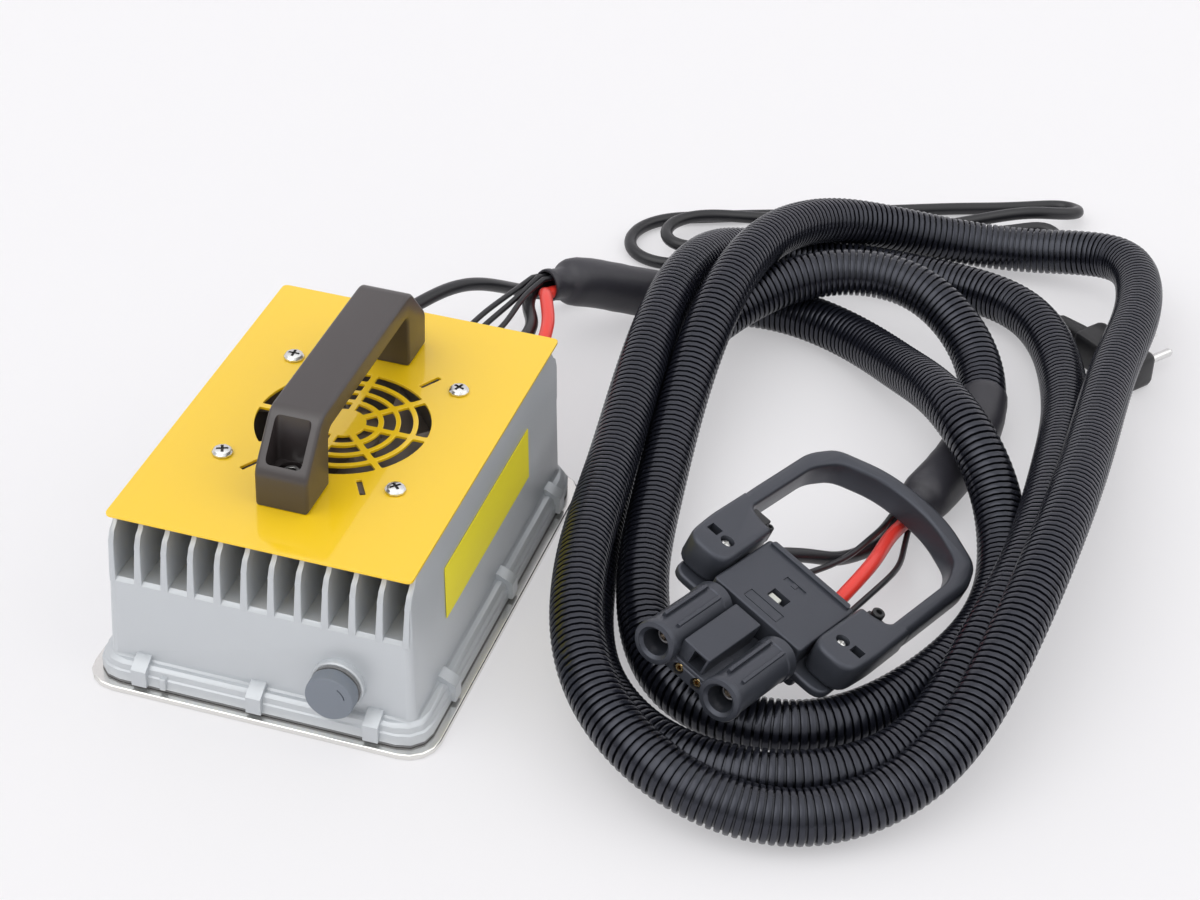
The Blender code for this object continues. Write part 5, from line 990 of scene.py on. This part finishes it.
# %% Curves through the points
def curve_points(route, per_span=16):
    """A natural cubic curve through the route's points, sampled densely."""
    points = np.array(route, float)
    span = np.linalg.norm(np.diff(points, axis=0), axis=1)
    count = len(points)
    matrix = np.eye(count)
    right = np.zeros((count, 3))
    slope = np.diff(points, axis=0) / span[:, None]
    for i in range(1, count - 1):
        matrix[i, i - 1 : i + 2] = span[i - 1], 2 * (span[i - 1] + span[i]), span[i]
        right[i] = 6 * (slope[i] - slope[i - 1])
    bend = np.linalg.solve(matrix, right)
    dense = []
    for i in range(count - 1):
        for t in np.arange(per_span) / per_span * span[i]:
            rest = span[i] - t
            dense.append(
                (bend[i] * rest**3 + bend[i + 1] * t**3) / (6 * span[i])
                + (points[i] / span[i] - bend[i] * span[i] / 6) * rest
                + (points[i + 1] / span[i] - bend[i + 1] * span[i] / 6) * t
            )
    dense.append(points[-1])
    return np.array(dense)


def lengths_along(points):
    return np.concatenate([[0.0], np.cumsum(np.linalg.norm(np.diff(points, axis=0), axis=1))])


def points_at(line, marks):
    """Points at given distances along a dense line."""
    along = lengths_along(line)
    return np.stack([np.interp(marks, along, line[:, k]) for k in range(3)], axis=1)


def headings(points):
    """The direction of a line at each of its points."""
    heading = np.gradient(points, axis=0)
    return heading / np.linalg.norm(heading, axis=1)[:, None]


def cut_stretch(points, start, end):
    """The part of a dense line between two distances along it."""
    along = lengths_along(points)
    return points_at(points, np.concatenate([[start], along[(along > start) & (along < end)], [end]]))


def cross_section(axis):
    """Two directions across an axis: sideways, then upwards."""
    side = axis.cross(Vector((0, 0, 1))).normalized()
    return side, side.cross(axis).normalized()


loom_line = curve_points(LOOM_ROUTE)
loom_length = lengths_along(loom_line)[-1]
print("loom", round(float(loom_length), 3), "m from mouth to mouth")


# %% Plain round cords
def tube_rings(points, sides, radii):
    """Rings across a line, turned as little as possible from one to the next."""
    points = np.array(points, float)
    heading = headings(points)
    side = np.cross(heading[0], (0.0, 0.0, 1.0))
    side /= np.linalg.norm(side)
    angles = np.arange(sides) / sides * math.tau
    rings = []
    for point, ahead, radius in zip(points, heading, radii):
        side = side - ahead * side.dot(ahead)
        side /= np.linalg.norm(side)
        up = np.cross(side, ahead)
        offsets = np.outer(np.cos(angles), side) + np.outer(np.sin(angles), up)
        rings.append(point + offsets * radius)
    return rings


def even_points(line, step):
    """Points along a dense line, at most a step apart."""
    length = lengths_along(line)[-1]
    return points_at(line, np.linspace(0.0, length, int(math.ceil(length / step)) + 1))


def round_cord(name, line, diameter, material, replaced):
    points = even_points(line, CORD_STEP)
    bm = bmesh.new()
    skin_rings(bm, tube_rings(points, CORD_SIDES, [diameter / 2] * len(points)))
    return add_piece(name, bm, material, "charger", replaced, 60), points


def cord_line(start, route, end):
    """A cord whose first and last stretch run straight between two given points."""
    middle = curve_points([start[1], *route, end[0]])
    return np.array([start[0], *middle, end[1]], float)


CORD_STEP = 0.003
CORD_SIDES = 16
MAINS_D = 0.007
LEAD_D = 0.0068
WIRE_D = 0.003
CONDUIT_D = 0.025
GAP = 0.0003
print("cord diameters", MAINS_D, LEAD_D, WIRE_D, CONDUIT_D)

# %% [markdown]
# ## Corrugated conduit
#
# Flexible conduit is blown into a mould with a rib every few millimetres, so the real one has
# about a thousand ribs. Modelling them one by one is hopeless, but the rule is simple: along
# the line, the radius steps between a crest and a valley. A Geometry Nodes tree resamples the
# line to five points a rib, moves them to their uneven places along the rib, sets the radius of
# each and sweeps a circle through them. It also stores how deep each point lies, and the
# material uses it to paint shade into the valleys by darkening their colour.

# %% Conduit material
def conduit_material():
    material = finish("conduit_black", (0.0100, 0.0108, 0.0165), 0.26, grain=1500, depth=0.00003, spread=0.3,
                      specular=0.60, tint=BLUE_SHEEN)
    tree = material.node_tree
    shader = tree.nodes["Principled BSDF"]
    group = next(node for node in tree.nodes if node.type == "GROUP")
    # Painted shade: the base colour falls to 5 % in the valleys, following the stored crest height.
    crest = tree.nodes.new("ShaderNodeAttribute")
    crest.attribute_name = "crest"
    valley_shade = tree.nodes.new("ShaderNodeMapRange")
    set_values(valley_shade, {"To Min": 0.05, "To Max": 1.0})
    tint = tree.nodes.new("ShaderNodeVectorMath")
    tint.operation = "SCALE"
    tree.links.new(crest.outputs["Fac"], valley_shade.inputs["Value"])
    tree.links.new(group.outputs["Color"], tint.inputs[0])
    tree.links.new(valley_shade.outputs["Result"], tint.inputs["Scale"])
    tree.links.new(tint.outputs["Vector"], shader.inputs["Base Color"])
    return material


CONDUIT_BLACK = conduit_material()
RIB_PITCH = 0.0035
# Where the five points of a rib lie along it, and how far each stands out.
RIB_SHARES = (0.0, 0.20, 0.28, 0.60, 0.92)
RIB_CRESTS = (0.0, 0.0, 0.86, 1.0, 0.86)
print("rib pitch", RIB_PITCH)


# %% Conduit tree
def conduit_tree():
    tree = bpy.data.node_groups.new("corrugated_conduit", "GeometryNodeTree")
    face = tree.interface
    face.new_socket("Line", in_out="INPUT", socket_type="NodeSocketGeometry")
    for name, kind in (("Rib Pitch", "NodeSocketFloat"), ("Crest Radius", "NodeSocketFloat"),
                       ("Valley Radius", "NodeSocketFloat"), ("Sides", "NodeSocketInt"),
                       ("Material", "NodeSocketMaterial")):
        face.new_socket(name, in_out="INPUT", socket_type=kind)
    face.new_socket("Conduit", in_out="OUTPUT", socket_type="NodeSocketGeometry")
    make = tree.nodes.new
    link = tree.links.new

    def pick(index, values):
        node = make("GeometryNodeIndexSwitch")
        node.data_type = "FLOAT"
        while len(node.index_switch_items) < len(values):
            node.index_switch_items.new()
        link(index, node.inputs["Index"])
        for number, value in enumerate(values):
            node.inputs[number + 1].default_value = value
        return node.outputs[0]

    given = make("NodeGroupInput")
    size = make("GeometryNodeCurveLength")
    link(given.outputs["Line"], size.inputs["Curve"])
    share = math_node(tree, "DIVIDE", size.outputs["Length"], given.outputs["Rib Pitch"])
    count = math_node(tree, "MULTIPLY_ADD", math_node(tree, "FLOOR", share), float(len(RIB_SHARES)), 1.0)
    resample = make("GeometryNodeResampleCurve")
    resample.mode = "COUNT"
    link(given.outputs["Line"], resample.inputs["Curve"])
    link(count, resample.inputs["Count"])

    index = make("GeometryNodeInputIndex").outputs[0]
    step = math_node(tree, "MODULO", index, len(RIB_SHARES), kind="FunctionNodeIntegerMath")
    rib = math_node(tree, "DIVIDE_FLOOR", index, len(RIB_SHARES), kind="FunctionNodeIntegerMath")
    crest = pick(step, RIB_CRESTS)
    ribs = math_node(tree, "ADD", rib, pick(step, RIB_SHARES))
    distance = math_node(tree, "MULTIPLY", ribs, given.outputs["Rib Pitch"])
    place = make("GeometryNodeSampleCurve")
    place.mode = "LENGTH"
    place.use_all_curves = True
    link(given.outputs["Line"], place.inputs["Curves"])
    link(distance, place.inputs["Length"])
    move = make("GeometryNodeSetPosition")
    link(resample.outputs["Curve"], move.inputs["Geometry"])
    link(place.outputs["Position"], move.inputs["Position"])

    store = make("GeometryNodeStoreNamedAttribute")
    store.data_type = "FLOAT"
    store.domain = "POINT"
    set_values(store, {"Name": "crest"})
    link(move.outputs["Geometry"], store.inputs["Geometry"])
    link(crest, store.inputs["Value"])
    valley = given.outputs["Valley Radius"]
    depth = math_node(tree, "SUBTRACT", given.outputs["Crest Radius"], valley)
    radius = math_node(tree, "MULTIPLY_ADD", crest, depth, valley)
    ring = make("GeometryNodeCurvePrimitiveCircle")
    ring.mode = "RADIUS"
    set_values(ring, {"Radius": 1.0})
    link(given.outputs["Sides"], ring.inputs["Resolution"])
    sweep = make("GeometryNodeCurveToMesh")
    link(store.outputs["Geometry"], sweep.inputs["Curve"])
    link(ring.outputs["Curve"], sweep.inputs["Profile Curve"])
    link(radius, sweep.inputs["Scale"])
    set_values(sweep, {"Fill Caps": True})
    smooth = make("GeometryNodeSetShadeSmooth")
    link(sweep.outputs["Mesh"], smooth.inputs["Geometry"])
    realize = make("GeometryNodeRealizeInstances")
    link(smooth.outputs["Geometry"], realize.inputs["Geometry"])
    dress = make("GeometryNodeSetMaterial")
    link(realize.outputs["Geometry"], dress.inputs["Geometry"])
    link(given.outputs["Material"], dress.inputs["Material"])
    out = make("NodeGroupOutput")
    link(dress.outputs["Geometry"], out.inputs["Conduit"])
    return tree


CONDUIT_TREE = conduit_tree()
print("tree", CONDUIT_TREE.name, "with", len(CONDUIT_TREE.nodes), "nodes")


# %% Run the tree along the loom
def line_object(name, points):
    data = bpy.data.curves.new(name, "CURVE")
    data.dimensions = "3D"
    spline = data.splines.new("POLY")
    spline.points.add(len(points) - 1)
    for spot, point in zip(spline.points, points):
        spot.co = (*point, 1.0)
    return linked(name, data)


def run_tree(obj, tree, values):
    """Sets the modifier's inputs by their sockets' identifiers, then keeps the plain mesh."""
    modifier = obj.modifiers.new(tree.name, "NODES")
    modifier.node_group = tree
    sockets = {item.name: item.identifier for item in tree.interface.items_tree if item.in_out == "INPUT"}
    for name, value in values.items():
        modifier[sockets[name]] = value
    bpy.context.view_layer.update()
    depsgraph = bpy.context.evaluated_depsgraph_get()
    mesh = bpy.data.meshes.new_from_object(obj.evaluated_get(depsgraph), depsgraph=depsgraph)
    bpy.data.objects.remove(obj)
    return mesh


BOOT_START_L = 0.095
BOOT_END_L = 0.115
BOOT_NECK_L = 0.015
BOOT_FLARE_L = 0.008
inside_boot = BOOT_NECK_L + BOOT_FLARE_L + 0.002
conduit_line = even_points(cut_stretch(loom_line, inside_boot, loom_length - inside_boot), 0.002)
conduit_mesh = run_tree(line_object("conduit_line", conduit_line), CONDUIT_TREE, {
    "Rib Pitch": RIB_PITCH, "Crest Radius": CONDUIT_D / 2, "Valley Radius": CONDUIT_D / 2 - 0.0017,
    "Sides": 18, "Material": CONDUIT_BLACK,
})
conduit_mesh.name = "conduit_ribbed"
conduit_mesh.set_sharp_from_angle(angle=math.radians(38))
conduit = linked("conduit_ribbed", conduit_mesh)
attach(conduit, "charger")
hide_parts("loom_conduit")
conduit_length = float(lengths_along(conduit_line)[-1])
print("conduit", round(conduit_length, 3), "m,", len(conduit_mesh.polygons), "faces")

# %% [markdown]
# ## Shrink boots
#
# Each end of the conduit is closed with heat-shrink tube. It grips the conduit, necks down to
# the bundle of leads and ends in a thin, open lip. The boot is a turned shell that follows the
# loom: outside first, then round the lip and back inside, with a little waviness where the hot
# tube has shrunk unevenly.

# %% Boots
BOOT_R = 0.0131
NECK_R = 0.0084


def boot_outline(length):
    """Radii of the outside, by the distance from the open mouth."""
    outside = [
        (0.0, NECK_R + 0.0001), (0.0010, NECK_R + 0.0004), (0.0032, NECK_R + 0.0003),
        (0.0044, NECK_R - 0.0003),
        (0.0125, NECK_R - 0.0003), (0.0140, NECK_R + 0.0006), (0.0152, NECK_R + 0.0022),
        (0.0162, BOOT_R - 0.0016), (0.0185, BOOT_R - 0.0006), (0.0230, BOOT_R),
    ]
    for spot in np.arange(0.032, length - 0.004, 0.006):
        outside.append((float(spot), BOOT_R + 0.00012 * math.sin(spot * 410)))
    outside += [(length - 0.001, BOOT_R), (length - 0.0002, BOOT_R - 0.0005)]
    return outside


def boot(name, line, node, mouth_first):
    profile = boot_outline(float(lengths_along(line)[-1]))
    inner = [(0.0095, NECK_R - 0.0018), (0.004, NECK_R - 0.0014), (0.0, NECK_R - 0.0009)]
    marks = [mark for mark, _ in inner] + [mark for mark, _ in profile]
    radii = [radius for _, radius in inner] + [radius for _, radius in profile]
    if not mouth_first:
        line = line[::-1]
    spots = points_at(line, marks)
    dense = even_points(line, 0.001)
    heading = headings(dense)
    dense_along = lengths_along(dense)
    bm = bmesh.new()
    sides = 28
    angles = np.arange(sides) / sides * math.tau
    rings = []
    for mark, spot, radius in zip(marks, spots, radii):
        ahead = np.array([np.interp(mark, dense_along, heading[:, k]) for k in range(3)])
        ahead /= np.linalg.norm(ahead)
        side = np.cross(ahead, (0.0, 0.0, 1.0))
        side /= np.linalg.norm(side)
        up = np.cross(side, ahead)
        crease = 1.0 + 0.035 * np.cos(3 * angles + 1.0) * max(0.0, 1.0 - mark / 0.02)
        offsets = np.outer(np.cos(angles) * crease, side) + np.outer(np.sin(angles) * crease, up)
        rings.append(spot + offsets * radius)
    skin_rings(bm, rings)
    obj = add_piece(name, bm, BOOT_BLACK, "charger", (node,), 50)
    return obj


boot_start = boot("boot_charger_end", cut_stretch(loom_line, 0.0, BOOT_START_L), "loom_boot_charger", True)
boot_end = boot("boot_connector_end", cut_stretch(loom_line, loom_length - BOOT_END_L, loom_length),
                "loom_boot_connector", False)
print("two boots")

# %% [markdown]
# ## Leads and mains cord
#
# The leads are plain round cable. They come out of rubber bushes at the back, gather in the
# boot's mouth, and come out again at the far end to enter the connector. Each runs a few
# millimetres into the boot, so that no cut end shows.

# %% Leads
first_heading = Vector(loom_line[1] - loom_line[0]).normalized()
last_heading = Vector(loom_line[-2] - loom_line[-1]).normalized()
charger_mouth = (Vector(loom_line[0]), first_heading)
connector_mouth = (Vector(loom_line[-1]), last_heading)
TUCK = 0.007


def mouth_spots(mouth, slot):
    """Just outside a boot's mouth, and a little inside it."""
    centre, inward = mouth
    side, up = cross_section(inward)
    spot = centre + side * slot[0] + up * slot[1]
    return spot - inward * 0.005, spot + inward * TUCK


def rear_lead(node, carrier, aside, route, slot, diameter, material):
    low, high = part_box(carrier)
    start = Vector(((low.x + high.x) / 2 + aside, high.y + GAP, (low.z + high.z) / 2))
    line = cord_line((start, start + Vector((0.0, 0.004, 0.0))), route, mouth_spots(charger_mouth, slot))
    obj, points = round_cord(f"{node}_sheath", line, diameter, material, (node,))


rear_lead("rear_lead_red", "red_lead_bush", 0.0, REAR_RED_ROUTE, REAR_BUNDLE[0], LEAD_D, CORD_RED)
rear_lead("rear_lead_black", "black_lead_bush", 0.0, REAR_BLACK_ROUTE, REAR_BUNDLE[1], LEAD_D, CORD_BLACK)
for number, route in enumerate(REAR_WIRE_ROUTES):
    rear_lead(f"rear_wire_{number + 1}", "wire_grommet", (number - 1) * (WIRE_D + 0.0007), route,
              REAR_BUNDLE[number + 2], WIRE_D, CORD_BLACK)

LEAD_Z = (0.017 + GAP + SHELL_TOP) / 2


def front_lead(node, x, route, slot, diameter, material):
    end = CONNECTOR @ Vector((x, SHELL_REAR + GAP, LEAD_Z))
    before = CONNECTOR @ Vector((x, SHELL_REAR + 0.004, LEAD_Z))
    line = cord_line(mouth_spots(connector_mouth, slot)[::-1], route, (before, end))
    obj, points = round_cord(f"{node}_sheath", line, diameter, material, (node,))


front_lead("front_lead_red", 0.0155, FRONT_RED_ROUTE, FRONT_BUNDLE[0], LEAD_D, CORD_RED)
front_lead("front_lead_black", -0.018, FRONT_BLACK_ROUTE, FRONT_BUNDLE[1], LEAD_D, CORD_BLACK)
front_lead("front_wire_1", -0.004, FRONT_WIRE_ROUTES[0], FRONT_BUNDLE[2], WIRE_D, CORD_BLACK)
front_lead("front_wire_2", 0.0230, FRONT_WIRE_ROUTES[1], FRONT_BUNDLE[3], WIRE_D, CORD_BLACK)

# %% Mains cord
PLUG = Matrix.Translation((0.318, 0.303, 0.0105)) @ Matrix.Rotation(math.radians(-36.9), 4, "Z")
PLUG_TAIL = 0.043 / 2 + 0.020
low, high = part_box("mains_gland")
mains_start = Vector(((low.x + high.x) / 2, high.y + GAP, (low.z + high.z) / 2))
mains_end = (PLUG @ Vector((-PLUG_TAIL - 0.006, 0.0, 0.0)), PLUG @ Vector((-PLUG_TAIL - GAP, 0.0, 0.0)))
mains_line = cord_line((mains_start, mains_start + Vector((0.0, 0.004, 0.0))), MAINS_ROUTE, mains_end)
mains, mains_points = round_cord("mains_cord_sheath", mains_line, MAINS_D, CORD_BLACK, ("mains_cord",))
print("mains cord", round(float(lengths_along(mains_points)[-1]), 3), "m")
